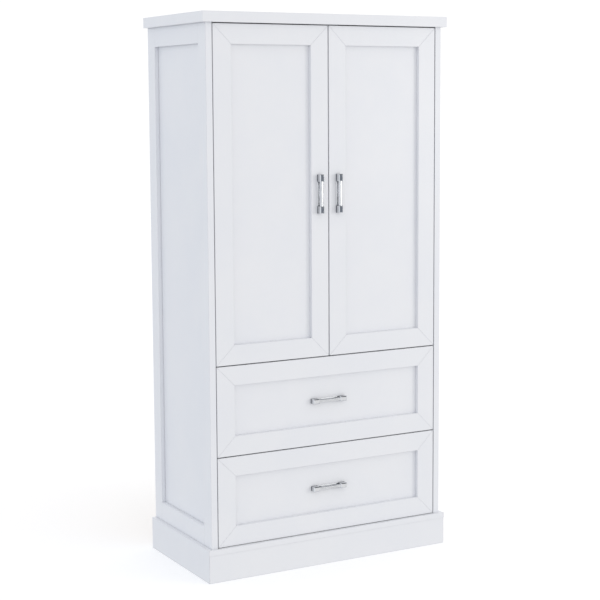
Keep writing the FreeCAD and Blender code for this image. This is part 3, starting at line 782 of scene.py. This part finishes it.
@dataclass
class BarHandle:
    """Bar handle: a bevelled block on a dark pad at each end, the pad's dark colour being painted
    shade at the seat, a foot strip and a rounded bar.
    """

    node: str
    body: str
    lie: Lie
    block: float = 21.0 * MM
    bar_wide: float = 10.0 * MM
    bar_deep: float = 8.0 * MM
    bar_power: float = 2.1
    bar_cut: float = 0.12
    bar_inside: float = 1.5 * MM
    set_back: float = 1.0 * MM
    foot_deep: float = 2.0 * MM
    pad_deep: float = 5.5 * MM
    bevel: float = 2.0 * MM
    ease: float = 0.35 * MM
    corner: float = 0.6 * MM
    overlap: float = 0.1 * MM

    def _block(self, half_long: float, half_wide: float, deep: float) -> np.ndarray:
        """Rings of one end block, from the foot to its head, in (along, across, out).

        The walls rise straight, and a flat bevel at 45 degrees runs round the head. Bevel and
        wall, and bevel and head, meet in arcs of an eighth turn: the ease times (-cos, sin) about
        a centre that stands the ease inside both faces. A ring close to each arc keeps the flat
        faces flat when the shading is smoothed.
        """
        grip = self.overlap
        eighth = np.linspace(0.0, math.pi / 4, 4)
        lead = self.ease * math.tan(math.pi / 8)
        rise = deep - self.bevel - lead
        low_in, low_up = self.ease * (1.0 - np.cos(eighth)), rise + self.ease * np.sin(eighth)
        steep = eighth + math.pi / 4
        top_in = self.bevel + lead - self.ease * np.cos(steep)
        top_up = deep - self.ease * (1.0 - np.sin(steep))
        foot = [self.pad_deep - grip, rise - grip]
        face_in = [low_in[-1] + grip, top_in[0] - grip]
        face_up = [low_up[-1] + grip, top_up[0] - grip]
        inward = np.concatenate([[0.0, 0.0], low_in, face_in, top_in, [top_in[-1] + grip]])
        upward = np.concatenate([foot, low_up, face_up, top_up, [deep]])
        outlines = [slab_outline(half_long - s, half_wide - s, self.corner) for s in inward]
        return stack(outlines, upward)

    def _bar(self, reach: float) -> np.ndarray:
        """Rings of the bar along its length, in (across, out, along).

        The section is a squircle cut off flat at the back: where the squircle would fall behind
        the bar's back plane, the point is held on that plane.
        """
        cut = self.bar_deep * self.bar_cut
        section = squircle(self.bar_wide / 2, self.bar_deep / 2 + cut, self.bar_power, 44)
        section[:, 1] = np.maximum(section[:, 1] - cut, -self.bar_deep / 2)
        return prism(section, -reach, reach)

    def _slab(self, half_long: float, half_wide: float, deep: float) -> np.ndarray:
        """Rings of a low slab, from its seat to its face, in (along, across, out).

        The bevel round its face takes two steps, the first steeper than the second.
        """
        bevel = 0.3 * self.foot_deep
        inward = [0.0, 0.0, 0.35 * bevel, bevel]
        upward = [0.0, deep - bevel, deep - 0.5 * bevel, deep]
        outlines = [slab_outline(half_long - s, half_wide - s, self.corner) for s in inward]
        return stack(outlines, upward)

    def build(self, paints: Paints) -> list[bpy.types.Object]:
        """Makes the handle in the place of its design node.

        Args:
            paints: the finishes.

        Returns:
            The bright blocks, bar and strip, and the dark pads, whose colour is painted shade at
            the seat.
        """
        low, high = (np.array(v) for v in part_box(self.node))
        size, middle = high - low, (high + low) / 2
        upright = self.lie is Lie.UPRIGHT
        along, across = (Z, X) if upright else (X, Z)
        long, wide = (size[2], size[0]) if upright else (size[0], size[2])
        seat = np.array([middle[0], high[1], middle[2]])
        spine = seat - np.array([0.0, size[1] - self.set_back - self.bar_deep / 2, 0.0])
        centre = (long - self.block) / 2
        ends = [seat + sign * centre * np.array(along) for sign in (-1, 1)]
        block = aimed(self._block(self.block / 2, wide / 2, size[1]), along, across, FORWARD)
        skins = [Skin.of_rings(block + end) for end in ends]
        reach = centre - self.block / 2 + self.bar_inside
        skins.append(Skin.of_rings(aimed(self._bar(reach), across, FORWARD, along) + spine))
        strip = self._slab(reach, wide / 2 - self.overlap, self.foot_deep)
        skins.append(Skin.of_rings(aimed(strip, along, across, FORWARD) + seat))
        pad = aimed(self._slab(self.block / 2, wide / 2, self.pad_deep), along, across, FORWARD)
        pads = [Skin.of_rings(pad + end) for end in ends]
        return [
            fitted(
                Skin.joined(parts).piece(self.node.replace("handle", name), finish),
                self.body,
                self.node,
            )
            for parts, name, finish in (
                (skins, "bar_handle", paints.chrome),
                # The pads take the dark plate: painted shade at the handle's seat.
                (pads, "handle_pads", paints.dark_plate),
            )
        ]


# ---- Screws ----


@dataclass(frozen=True)
class Screw:
    """A screw: where its head's outer face is, which way it points, and its sizes."""

    place: Place
    way: Place
    length: float
    drive: Drive = Drive.COUNTERSUNK
    head: float = 3.6 * MM
    head_deep: float = 2.0 * MM
    shank: float = 1.8 * MM
    recess: float = 1.3 * MM
    around: int = 24

    def _cross(self, long: float, half_wide: float, swing: float) -> np.ndarray:
        """Outline of the cross recess.

        Towards any direction it reaches the nearer of the arm's end, long / |cos|, and the arm's
        flank, half_wide / |sin|, taken in the eighth of a turn nearest to an arm.
        """
        angle = turn(self.around)
        c, s = np.abs(np.cos(angle)), np.abs(np.sin(angle))
        near, far = np.maximum(c, s), np.maximum(np.minimum(c, s), 1e-6)
        reach = np.minimum(long / near, half_wide / far)
        return reach[:, None] * circle(angle + swing)

    def skin(self, swing: float) -> Skin:
        """The screw's surface.

        Circles for the shank and the head, then the cross recess sunk in its top.

        Args:
            swing: how far the recess is turned, in radians.

        Returns:
            A closed skin.
        """
        r, h = self.head, self.head_deep
        profile = [(self.shank, self.length), (self.shank, h)]
        if self.drive is Drive.COUNTERSUNK:
            profile += [(r, 0.25 * h), (r, 0.02 * h), (r - 0.25 * MM, 0.0)]
        else:
            profile += [(r * 0.97, h), (r, 0.7 * h), (r * 0.93, 0.35 * h)]
            profile += [(r * 0.75, 0.1 * h), (r * 0.62, 0.0)]
        outlines = [circle(turn(self.around) + swing) * radius for radius, _ in profile]
        depths = [depth for _, depth in profile]
        long, wide = r * 0.52, r * 0.15
        outlines += [self._cross(long, wide, swing), self._cross(long * 0.5, wide * 0.7, swing)]
        depths += [0.0, min(self.recess, h * 0.75)]
        rings = stack(outlines, depths)
        way = np.array(self.way, dtype=float)
        across = np.array(Z if abs(way[2]) < 0.5 else X, dtype=float)
        up = np.cross(way, across)
        return Skin.of_rings(aimed(rings, across, up, way) + np.array(self.place))


PAN = {"drive": Drive.PAN, "head": 4.0 * MM, "head_deep": 2.2 * MM, "shank": 2.0 * MM}
SMALL = {"head": 3.2 * MM, "head_deep": 1.8 * MM, "shank": 1.5 * MM}
GOLDEN = math.pi * (3.0 - math.sqrt(5.0))


@dataclass
class ScrewSet:
    """All the screws of one body, which stand for one design node."""

    node: str
    body: str
    screws: list[Screw]

    def build(self, paints: Paints) -> bpy.types.Object:
        """Makes the screws as one piece, each recess turned a golden angle on from the last.

        Args:
            paints: the finishes.

        Returns:
            The screws.
        """
        skins = [screw.skin(GOLDEN * i) for i, screw in enumerate(self.screws)]
        name = self.node.replace("screws", "cross_screws")
        made = Skin.joined(skins).piece(name, paints.screw, 30.0)
        return fitted(made, self.body, self.node)


@dataclass
class Fasteners:
    """Where every screw of the armoire goes."""

    lower_levels: tuple[float, ...] = (0.130, 0.280, 0.430, 0.575)
    upper_levels: tuple[float, ...] = (0.645, 0.800, 0.955, 1.110, 1.265, 1.420, 1.545)
    board_places: tuple[float, ...] = (-0.240, 0.0, 0.240)
    top_places: tuple[float, ...] = (-0.120, 0.120)
    box_places: tuple[float, ...] = (-0.332, 0.332)
    handle_end: float = 8 * MM

    def back(self) -> list[Screw]:
        """Screws round the back panels, their heads flush with the back."""
        low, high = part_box("back_panel_screws")
        edge = high.x - SMALL["head"]
        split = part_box("back_panel_upper")[0].z
        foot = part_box("bottom_panel")
        levels = self.lower_levels + self.upper_levels
        places = [(x, z) for z in levels for x in (-edge, edge)]
        places += [(x, split + dz) for x in self.board_places for dz in (-4.5 * MM, 4.5 * MM)]
        places += [(x, (foot[0].z + foot[1].z) / 2) for x in self.board_places]
        places += [(x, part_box("top_panel")[0].z - 20 * MM) for x in self.top_places]
        return [Screw((x, high.y, z), FORWARD, 16 * MM, **SMALL) for x, z in places]

    def _behind(self, node: str, face: float) -> list[Screw]:
        """The two pan-headed screws that hold a handle.

        Args:
            node: the handle's design node.
            face: Y of the face that their heads stand on.

        Returns:
            The screws, from the low end.
        """
        low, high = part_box(node)
        axis = 2 if high.z - low.z > high.x - low.x else 0
        head = face + PAN["head_deep"]
        screws = []
        for end in (low[axis] + self.handle_end, high[axis] - self.handle_end):
            place = [(low.x + high.x) / 2, head, (low.z + high.z) / 2]
            place[axis] = end
            screws.append(Screw(tuple(place), FORWARD, head - high.y, **PAN))
        return screws

    def carcass(self) -> list[Screw]:
        """Screws of the hinge plates and of the runners' cabinet members, on both sides."""
        plate_low, plate_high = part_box("hinge_plates")
        inside = plate_high.x
        plate_x, plate_y = inside - 3.0 * MM, (plate_low.y + plate_high.y) / 2
        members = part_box("runner_cabinet_members")
        runner_x = inside - 2.0 * MM
        runner_y = (members[0].y + 14 * MM, members[1].y - 10 * MM)
        runner_z = (members[0].z + 22.5 * MM, members[1].z - 22.5 * MM)
        screws = []
        for side in Side:
            way = (side.value, 0, 0)
            for level in HINGE_LEVELS:
                for dz in (-16 * MM, 16 * MM):
                    place = (side.value * plate_x, plate_y, level + dz)
                    screws.append(Screw(place, way, 15 * MM))
            for z in runner_z:
                for y in runner_y:
                    screws.append(Screw((side.value * runner_x, y, z), way, 14 * MM))
        return screws

    def door(self, side: Side) -> list[Screw]:
        """Screws of one door: two behind the handle, two in each hinge cup's flange."""
        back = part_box(f"{side.word}_door_panel")[1].y
        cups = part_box(f"{side.word}_door_hinge_cups")
        cup_x = (cups[0].x + cups[1].x) / 2
        screws = self._behind(f"{side.word}_door_handle", back)
        for level in HINGE_LEVELS:
            for dz in (-24 * MM, 24 * MM):
                screws.append(Screw((cup_x, cups[1].y, level + dz), FORWARD, 13 * MM))
        return screws

    def drawer(self, level: Level) -> list[Screw]:
        """Screws of one drawer: behind the handle, through the box's front, and in the runners."""
        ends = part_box(f"{level.value}_drawer_box_ends")
        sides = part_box(f"{level.value}_drawer_sides")
        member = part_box(f"{level.value}_runner_drawer_members")
        inside = ends[0].y + 12 * MM
        screws = self._behind(f"{level.value}_drawer_handle", inside)
        for x in self.box_places:
            for z in (sides[0].z + 40 * MM, sides[1].z - 40 * MM):
                screws.append(Screw((x, inside, z), FORWARD, 24 * MM))
        runner_z = (member[0].z + member[1].z) / 2
        for side in Side:
            for y in (member[0].y + 40 * MM, member[1].y - 40 * MM):
                place = (side.value * (sides[1].x + 2.0 * MM), y, runner_z)
                screws.append(Screw(place, (-side.value, 0, 0), 12 * MM))
        return screws

    def build(self, paints: Paints) -> list[bpy.types.Object]:
        """Makes every set of screws.

        Args:
            paints: the finishes.

        Returns:
            The sets.
        """
        sets = [
            ScrewSet("back_panel_screws", "carcass", self.back()),
            ScrewSet("carcass_screws", "carcass", self.carcass()),
        ]
        sets += [ScrewSet(f"{s.word}_door_screws", f"{s.word}_door", self.door(s)) for s in Side]
        for level in Level:
            word = level.value
            sets.append(ScrewSet(f"{word}_drawer_screws", f"{word}_drawer", self.drawer(level)))
        return [screws.build(paints) for screws in sets]


# ---- Concealed hinges ----


@dataclass
class ConcealedHinge:
    """Three hinges of one door. Points are given from the pivot: x away from the side, y back."""

    side: Side
    door_back: float = 9.0 * MM
    cup_deep: float = 13.5 * MM
    cup_radius: float = 17.5 * MM
    cup_wall: float = 1.0 * MM
    flange: tuple[float, float, float] = (19.0 * MM, 31.0 * MM, 1.2 * MM)
    pin_radius: float = 1.5 * MM
    pin_half: float = 10.0 * MM
    lug: tuple[float, float] = (7.0 * MM, 10.0 * MM)
    arm_half: float = 6.0 * MM
    arm_thick: float = 2.6 * MM
    eye: float = 3.0 * MM
    elbow: tuple[float, float] = (29.876 * MM, 25.069 * MM)
    run: float = 31.0 * MM
    plate: tuple[float, float, float] = (3.0 * MM, 24.0 * MM, 52.0 * MM)
    pivot: Vector = field(init=False)
    wall: float = field(init=False)

    def __post_init__(self) -> None:
        """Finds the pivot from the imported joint, and the side's inner face from the plate."""
        name = f"{self.side.word}_door_hinge"
        joints = {joint["name"]: joint for joint in FRAME["joints"]}
        self.pivot = Vector(joints[name]["pos_m"])
        self.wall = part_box("hinge_plates")[1].x - abs(self.pivot.x)

    def _place(self, skin: Skin, level: float) -> Skin:
        """Moves a skin from the right-hand pivot's own frame to its hinge."""
        placed = skin.mirrored(-1).moved(abs(self.pivot.x), self.pivot.y, level)
        return placed.mirrored(self.side.value)

    def _cup(self) -> Skin:
        """Drawn cup with its flange.

        Rings run from the middle of the cup's floor up the inner wall, over the rim, out to the
        flange's edge, which is a rounded rectangle, and back under it and down the outer wall.
        """
        half_x, half_z, thick = self.flange
        edge = slab_outline(half_x, half_z, 9.0 * MM, 12)
        inner, outer = self.cup_radius - self.cup_wall, self.cup_radius
        floor = self.door_back - self.cup_deep
        back, face = self.door_back, self.door_back + thick
        ray = circle(np.arctan2(edge[:, 1], edge[:, 0]))
        inset = 1.0 - 0.35 * MM / np.linalg.norm(edge, axis=-1, keepdims=True)
        steps = [
            (ray * (inner - 4.0 * MM), floor + self.cup_wall),
            (ray * (inner - 1.0 * MM), floor + self.cup_wall + 0.15 * MM),
            (ray * (inner - 0.15 * MM), floor + self.cup_wall + 1.0 * MM),
            (ray * inner, back - 0.4 * MM),
            (ray * (inner + 0.25 * MM), face - 0.25 * MM),
            (ray * (inner + 0.8 * MM), face),
            (edge * inset, face),
            (edge, face - 0.35 * MM),
            (edge, back),
            (ray * outer, back),
            (ray * outer, floor + 0.8 * MM),
            (ray * (outer - 0.8 * MM), floor),
        ]
        rings = stack([outline for outline, _ in steps], [level for _, level in steps])
        return Skin.of_rings(aimed(rings, X, Z, Y))

    def _lugs(self) -> list[Skin]:
        """Two ears in the cup that hold the pin."""
        low, high = self.lug
        base, top = self.door_back - self.cup_deep + self.cup_wall, self.pin_radius * 2
        outline = slab_outline(3.0 * MM, (top - base) / 2, 1.4 * MM)
        skins = []
        for start in (low, -high):
            rings = prism(outline, start, start + high - low)
            skins.append(Skin.of_rings(aimed(rings, X, Y, Z)).moved(y=(top + base) / 2))
        return skins

    def _pin(self) -> Skin:
        """Pivot pin with rounded ends."""
        r, h = self.pin_radius, self.pin_half
        profile = [(r * 0.6, -h), (r, -h + 0.5 * MM), (r, h - 0.5 * MM), (r * 0.6, h)]
        return Skin.of_rings(lathe(profile, 20))

    def _arm_path(self) -> np.ndarray:
        """The arm's line from pin to foot, its two corners rounded by quadratic curves.

        Returns:
            Points as (count, 2), from the pivot.
        """
        begin = (self.eye * 0.7, self.eye * 0.6)
        crank = (self.elbow[0] - 7.0 * MM, self.run)
        corners = np.array([begin, self.elbow, crank, (4.0 * MM - self.wall, self.run)])
        cut = 4.0 * MM
        line = [corners[0][None]]
        for before, corner, after in zip(corners, corners[1:], corners[2:]):
            ways = (before - corner, after - corner)
            start, end = (corner + way * min(cut / np.linalg.norm(way), 0.45) for way in ways)
            t = np.linspace(0.0, 1.0, 7)[:, None]
            line.append((1 - t) ** 2 * start + 2 * t * (1 - t) * corner + t**2 * end)
        line.append(corners[-1][None])
        return np.vstack(line)

    def _arm(self) -> list[Skin]:
        """Cranked arm, its eye round the pin, its foot and its two adjusting screws.

        The strip is a rounded rectangle carried along the path: at each point its thin side lies
        along the path's normal, and its long side is upright.
        """
        path = self._arm_path()
        step = np.gradient(path, axis=0)
        step /= np.linalg.norm(step, axis=-1, keepdims=True)
        normal = np.stack([-step[:, 1], step[:, 0]], axis=-1)
        section = slab_outline(self.arm_thick / 2, self.arm_half, 0.7 * MM, 4)
        flat = path[:, None, :] + normal[:, None, :] * section[None, :, :1]
        upright = np.broadcast_to(section[None, :, 1:], (len(path), len(section), 1))
        strip = Skin.of_rings(np.concatenate([flat, upright], axis=-1))
        r, hole, h, ease = self.eye, self.pin_radius + 0.05 * MM, self.arm_half, 0.4 * MM
        lower = [(hole, -h), (r - ease, -h), (r, ease - h)]
        upper = [(r, h - ease), (r - ease, h), (hole, h)]
        eye = Skin.of_rings(lathe(lower + upper))
        foot = Skin.of_rings(prism(slab_outline(4.5 * MM, 5.0 * MM, 1.2 * MM), -h, h))
        skins = [strip, eye, foot.moved(4.5 * MM - self.wall, self.run)]
        sizes = {"drive": Drive.PAN, "head": 2.9 * MM, "head_deep": 0.8 * MM, "shank": 1.4 * MM}
        for x in (-4.0 * MM, 9.0 * MM):
            place = (x, self.run - self.arm_thick / 2 - 0.7 * MM, 0.0)
            skins.append(Screw(place, Y, 3.2 * MM, **sizes).skin(x * 400.0))
        return skins

    def _plate(self) -> Skin:
        """Mounting plate with softened corners and a bevelled face."""
        thick, deep, high = self.plate
        bevel = 0.7 * MM
        outer = slab_outline(deep / 2, high / 2, 4.0 * MM)
        inner = slab_outline(deep / 2 - bevel, high / 2 - bevel, 3.4 * MM)
        rings = stack([outer, outer, inner], [0.0, thick - bevel, thick])
        placed = aimed(rings, Y, Z, X)
        return Skin.of_rings(placed).moved(-self.wall - thick, self.run - 3.0 * MM)

    def _thrice(self, parts: Sequence[Skin]) -> Skin:
        """These parts at each of the three hinges."""
        return Skin.joined([self._place(part, level) for level in HINGE_LEVELS for part in parts])

    def door_parts(self) -> Skin:
        """Cups, lugs and pins of the three hinges."""
        return self._thrice([self._cup(), *self._lugs(), self._pin()])

    def carcass_arms(self) -> Skin:
        """Arms of the three hinges."""
        return self._thrice(self._arm())

    def carcass_plates(self) -> Skin:
        """Plates of the three hinges."""
        return self._thrice([self._plate()])


@dataclass
class Hinges:
    """The hinges of both doors."""

    def build(self, paints: Paints) -> list[bpy.types.Object]:
        """Makes the hinges' pieces and puts each on its body.

        Args:
            paints: the finishes.

        Returns:
            The pieces.
        """
        hinges = [ConcealedHinge(side) for side in Side]
        arms = Skin.joined([hinge.carcass_arms() for hinge in hinges])
        plates = Skin.joined([hinge.carcass_plates() for hinge in hinges])
        rows = []
        for hinge in hinges:
            word = hinge.side.word
            body, node = f"{word}_door", f"{word}_door_hinge_cups"
            rows.append((hinge.door_parts(), f"{word}_drawn_cups", body, node))
        rows.append((arms, "cranked_hinge_arms", "carcass", "hinge_arms"))
        rows.append((plates, "bevelled_hinge_plates", "carcass", "hinge_plates"))
        return [
            fitted(skin.piece(name, paints.nickel), body, node)
            for skin, name, body, node in rows
        ]


# ---- Runners ----


@dataclass
class BallCages:
    """Balls and their cages, between the members of one drawer's two runners."""

    level: Level
    ball: float = 1.9 * MM
    count: int = 8
    pitch: float = 20.0 * MM
    wall_gap: float = 3.6 * MM
    outer_row: tuple[float, float] = (5.6 * MM, 19.25 * MM)
    inner_row: tuple[float, float] = (8.1 * MM, 14.0 * MM)
    outer_start: float = 166 * MM
    inner_start: float = 8 * MM

    def _ball(self) -> np.ndarray:
        """Rings of a small ball: radius times sin and cos of the angle from its pole."""
        angle = np.linspace(0.12, math.pi - 0.12, 7)
        return lathe(list(zip(self.ball * np.sin(angle), self.ball * np.cos(angle))), 10)

    def _row(self, x: float, z: float, start: float) -> list[Skin]:
        """One row of balls with the strip that keeps them apart.

        Args:
            x: distance of the row from the middle plane.
            z: height of the row.
            start: Y of the first ball.

        Returns:
            The row's skins, on the right-hand side.
        """
        ball = self._ball()
        places = start + np.arange(self.count) * self.pitch
        skins = [Skin.of_rings(ball + np.array([x, y, z])) for y in places]
        half = (self.count * self.pitch) / 2
        outline = slab_outline(1.4 * MM, 0.3 * MM, 0.2 * MM, 3)
        strip = aimed(prism(outline, -half, half), X, Z, Y)
        middle = start + (self.count - 1) * self.pitch / 2
        skins.append(Skin.of_rings(strip + np.array([x, middle, z])))
        return skins

    def build(self, paints: Paints) -> bpy.types.Object:
        """Makes the rows on both sides, above and below each member.

        Args:
            paints: the finishes.

        Returns:
            The balls and cages, which ride on the middle members.
        """
        word = self.level.value
        low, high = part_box(f"{word}_runner_middle_members")
        centre, wall = (low.z + high.z) / 2, high.x + self.wall_gap
        rows = (
            (self.outer_row, high.y - self.outer_start),
            (self.inner_row, low.y + self.inner_start),
        )
        skins = []
        for up in (-1, 1):
            for (inside, off), start in rows:
                skins += self._row(wall - inside, centre + up * off, start)
        both = [skin.mirrored(side.value) for side in Side for skin in skins]
        made = Skin.joined(both).piece(f"{word}_runner_balls", paints.zinc, 60.0)
        return fitted(made, f"{word}_runner_middle")


# ---- Doors, drawers and carcass ----


def coat(nodes: Iterable[str], finish: bpy.types.Material) -> None:
    """Gives design nodes one finish.

    Args:
        nodes: the nodes' names.
        finish: the material for all their slots.
    """
    for name in nodes:
        mesh = FRAME["nodes"][name].data
        mesh.materials.clear()
        mesh.materials.append(finish)


@dataclass
class Door:
    """One door: a mitred frame round a recessed panel, and its handle."""

    side: Side

    def build(self, paints: Paints) -> list[bpy.types.Object]:
        """Coats the door's boards and fits its handle.

        Args:
            paints: the finishes.

        Returns:
            The handle's pieces.
        """
        word = f"{self.side.word}_door"
        boards = ("hinge_stile", "meeting_stile", "rails", "panel")
        coat([f"{word}_{board}" for board in boards], paints.front)
        return BarHandle(f"{word}_handle", word, Lie.UPRIGHT).build(paints)


@dataclass
class Drawer:
    """One drawer: its framed front, box, runner members and handle."""

    level: Level

    def build(self, paints: Paints) -> list[bpy.types.Object]:
        """Coats the boards and steel, and fits the handle and the balls.

        Args:
            paints: the finishes.

        Returns:
            The new pieces.
        """
        word = self.level.value
        coat([f"{word}_drawer_front_frame", f"{word}_drawer_front_panel"], paints.front)
        coat([f"{word}_drawer_{board}" for board in ("sides", "box_ends", "bottom")], paints.inner)
        coat([f"{word}_runner_{part}_members" for part in ("middle", "drawer")], paints.zinc)
        handle = BarHandle(f"{word}_drawer_handle", f"{word}_drawer", Lie.LEVEL).build(paints)
        return [*handle, BallCages(self.level).build(paints)]


@dataclass
class Carcass:
    """The standing body: sides, boards, backs, top and plinth."""

    shown: tuple[str, ...] = (
        "top_panel", "front_plinth", "plinth_cap", "back_plinth", "door_stop"
    )
    inside: tuple[str, ...] = (
        "middle_panel", "bottom_panel", "lower_shelf", "upper_shelf", "wall_fixing_rail"
    )
    backs: tuple[str, ...] = ("back_panel_upper", "back_panel_lower")
    side_boards: tuple[str, ...] = ("front_stile", "back_stile", "rails", "panel")

    def build(self, paints: Paints) -> list[bpy.types.Object]:
        """Coats the boards and makes the bumpers.

        Args:
            paints: the finishes.

        Returns:
            The new pieces.
        """
        sides = [f"{side.word}_side_{board}" for side in Side for board in self.side_boards]
        coat(self.shown, paints.front)
        coat([*sides, "side_plinths"], paints.side)
        coat(self.inside, paints.inner)
        coat(self.backs, paints.back)
        coat(["runner_cabinet_members"], paints.zinc)
        coat(["shelf_pins"], paints.nickel)
        return [self._bumpers(paints)]

    def _bumpers(self, paints: Paints) -> bpy.types.Object:
        """Domed pads on the door stop.

        Args:
            paints: the finishes.

        Returns:
            Both pads as one piece.
        """
        low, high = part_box("door_bumpers")
        radius, tall = (high.z - low.z) / 2, high.y - low.y
        dome = ((1.0, 0.0), (1.0, 0.35), (0.86, 0.75), (0.5, 1.0))
        profile = [(radius * wide, tall * up) for wide, up in dome]
        rings = aimed(lathe(profile, 28), X, Z, FORWARD)
        place = np.array([high.x - radius, high.y, (low.z + high.z) / 2])
        right = Skin.of_rings(rings + place)
        pads = Skin.joined([right, right.mirrored(-1)])
        made = pads.piece("domed_door_bumpers", paints.pad)
        return fitted(made, "carcass", "door_bumpers")


# ---- Studio ----


@dataclass
class Studio:
    """Pale floor, one soft lamp, surroundings and camera."""

    camera_place: Place = (-2.1452, -3.8782, 1.3529)
    camera_turn: float = 29.043
    camera_tip: float = -6.466
    camera_roll: float = -0.330
    lens: float = 89.08
    shift: float = -0.05
    lamp_place: Place = (3.4, -3.6, 1.3)
    lamp_aim: Place = (0.0, -0.1, 0.45)
    lamp_size: float = 1.2
    lamp_power: float = 27.0
    lamp_colour: Colour = (1.0, 0.985, 0.96)
    ground: float = 0.85
    wall: float = 1.05
    ceiling: float = 0.88
    backdrop: float = 1.05
    white: Colour = (1.0, 1.0, 1.0)
    left_tint: Colour = (1.0, 1.035, 1.085)
    sparkle: float = 0.20
    dark_tint: Colour = (0.86, 0.97, 1.16)
    dark_things: tuple[tuple[Place, float, float], ...] = (
        ((0.508, -0.859, -0.03), 8.0, 0.74),
        ((0.494, -0.20, 0.847), 15.0, 0.92),
    )

    def build(self, paints: Paints) -> None:
        """Makes the floor, lamp, surroundings and camera.

        Args:
            paints: the finishes.
        """
        self._floor(paints)
        self._surroundings()
        self._lamp()
        self._camera()
        bpy.context.scene.view_settings.view_transform = "Standard"

    def _floor(self, paints: Paints) -> None:
        """A wide flat floor with its edge far out of sight."""
        outline = squircle(14.0, 14.0, 2.0, 64)
        disc = Skin.of_rings(prism(outline, -0.02, 0.0))
        floor = disc.piece("floor", paints.floor)
        floor.visible_diffuse = False
        floor.visible_glossy = False

    def _surroundings(self) -> None:
        """Bright walls, a dimmer ground and ceiling, and two dark things seen in reflections.

        The strength steps from ground to wall at the horizon, and from wall to ceiling above it.
        Each dark thing is a round patch: its direction, its half-angle in degrees and how dark it
        is, where the dot product with the direction is large. Reflections alone show the dark
        things, in a little more light than the rest gets. The camera sees an even backdrop.
        """
        world = bpy.data.worlds.new("studio")
        bpy.context.scene.world = world
        world.use_nodes = True
        bench = Bench(world.node_tree)
        way = bench.node("ShaderNodeTexCoord", output="Generated")
        x, _, z = bench.parts(way)
        light = self.ground + z.ramp(-0.06, 0.10) * (self.wall - self.ground)
        light = light + z.ramp(0.1, 0.9) * (self.ceiling - self.wall)
        tint = bench.blend((0.0 - x).ramp(0.1, 0.9), rgba(self.white), rgba(self.left_tint))
        glossy = bench.node("ShaderNodeLightPath", output="Is Glossy Ray")
        light = light * (1.0 + glossy * self.sparkle)
        for axis, reach, dark in self.dark_things:
            towards = tuple(Vector(axis).normalized())
            outer, inner = math.cos(math.radians(reach)), math.cos(math.radians(reach * 0.7))
            shade = bench.dot(way, towards).ramp(outer, inner) * glossy * dark
            light = light * (1.0 - shade)
            tint = bench.blend(shade, tint, rgba(self.dark_tint))
        seen = bench.node("ShaderNodeLightPath", output="Is Camera Ray")
        colour = bench.blend(seen, tint, rgba(self.white))
        strength = light + seen * (self.backdrop - light)
        sky = bench.node("ShaderNodeBackground", None, {"Color": colour, "Strength": strength})
        bench.node("ShaderNodeOutputWorld", None, {"Surface": sky})

    def _lamp(self) -> None:
        """A square soft lamp at the right, facing the lower half of the front."""
        light = bpy.data.lights.new("key", "AREA")
        light.size, light.energy, light.color = self.lamp_size, self.lamp_power, self.lamp_colour
        lamp = bpy.data.objects.new("key", light)
        lamp.location = self.lamp_place
        way = Vector(self.lamp_aim) - Vector(self.lamp_place)
        lamp.rotation_euler = way.to_track_quat("-Z", "Y").to_euler()
        bpy.context.scene.collection.objects.link(lamp)

    def _camera(self) -> None:
        """The camera, from its turn, tip and roll: axes are right, up and backwards."""
        degrees = (self.camera_turn, self.camera_tip, self.camera_roll)
        turned, tipped, rolled = (math.radians(angle) for angle in degrees)
        level = math.cos(tipped)
        ahead = Vector((math.sin(turned) * level, math.cos(turned) * level, math.sin(tipped)))
        right = Vector((math.cos(turned), -math.sin(turned), 0.0))
        up = right.cross(ahead)
        across = right * math.cos(rolled) + up * math.sin(rolled)
        upward = up * math.cos(rolled) - right * math.sin(rolled)
        data = bpy.data.cameras.new("camera")
        data.lens = self.lens
        data.sensor_width = 36.0
        data.shift_y = self.shift
        data.dof.use_dof = False
        data.clip_end = 100.0
        camera = bpy.data.objects.new("camera", data)
        basis = Matrix((across, upward, -ahead)).transposed().to_4x4()
        camera.matrix_world = Matrix.Translation(self.camera_place) @ basis
        bpy.context.scene.collection.objects.link(camera)
        bpy.context.scene.camera = camera


def main() -> None:
    """Builds every sub-assembly in order, and reports each piece."""
    logging.basicConfig(level=logging.INFO, format="%(message)s")
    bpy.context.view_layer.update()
    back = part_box("back_panel_upper")
    paints = Paints((back[0].y + back[1].y) / 2)
    pieces = Carcass().build(paints)
    for side in Side:
        pieces += Door(side).build(paints)
    for level in Level:
        pieces += Drawer(level).build(paints)
    pieces += Hinges().build(paints)
    pieces += Fasteners().build(paints)
    for piece in pieces:
        LOG.info("%s: %d faces", piece.name, len(piece.data.polygons))
    Studio().build(paints)


with open("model.json") as file:
    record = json.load(file)
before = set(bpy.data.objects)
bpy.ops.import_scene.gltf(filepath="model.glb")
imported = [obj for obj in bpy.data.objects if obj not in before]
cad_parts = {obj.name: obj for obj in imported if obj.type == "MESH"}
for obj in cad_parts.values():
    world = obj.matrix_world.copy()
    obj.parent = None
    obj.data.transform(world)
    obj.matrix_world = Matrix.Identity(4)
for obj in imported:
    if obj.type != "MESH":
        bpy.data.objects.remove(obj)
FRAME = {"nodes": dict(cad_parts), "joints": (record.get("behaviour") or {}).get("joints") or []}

if __name__ == "__main__":
    main()
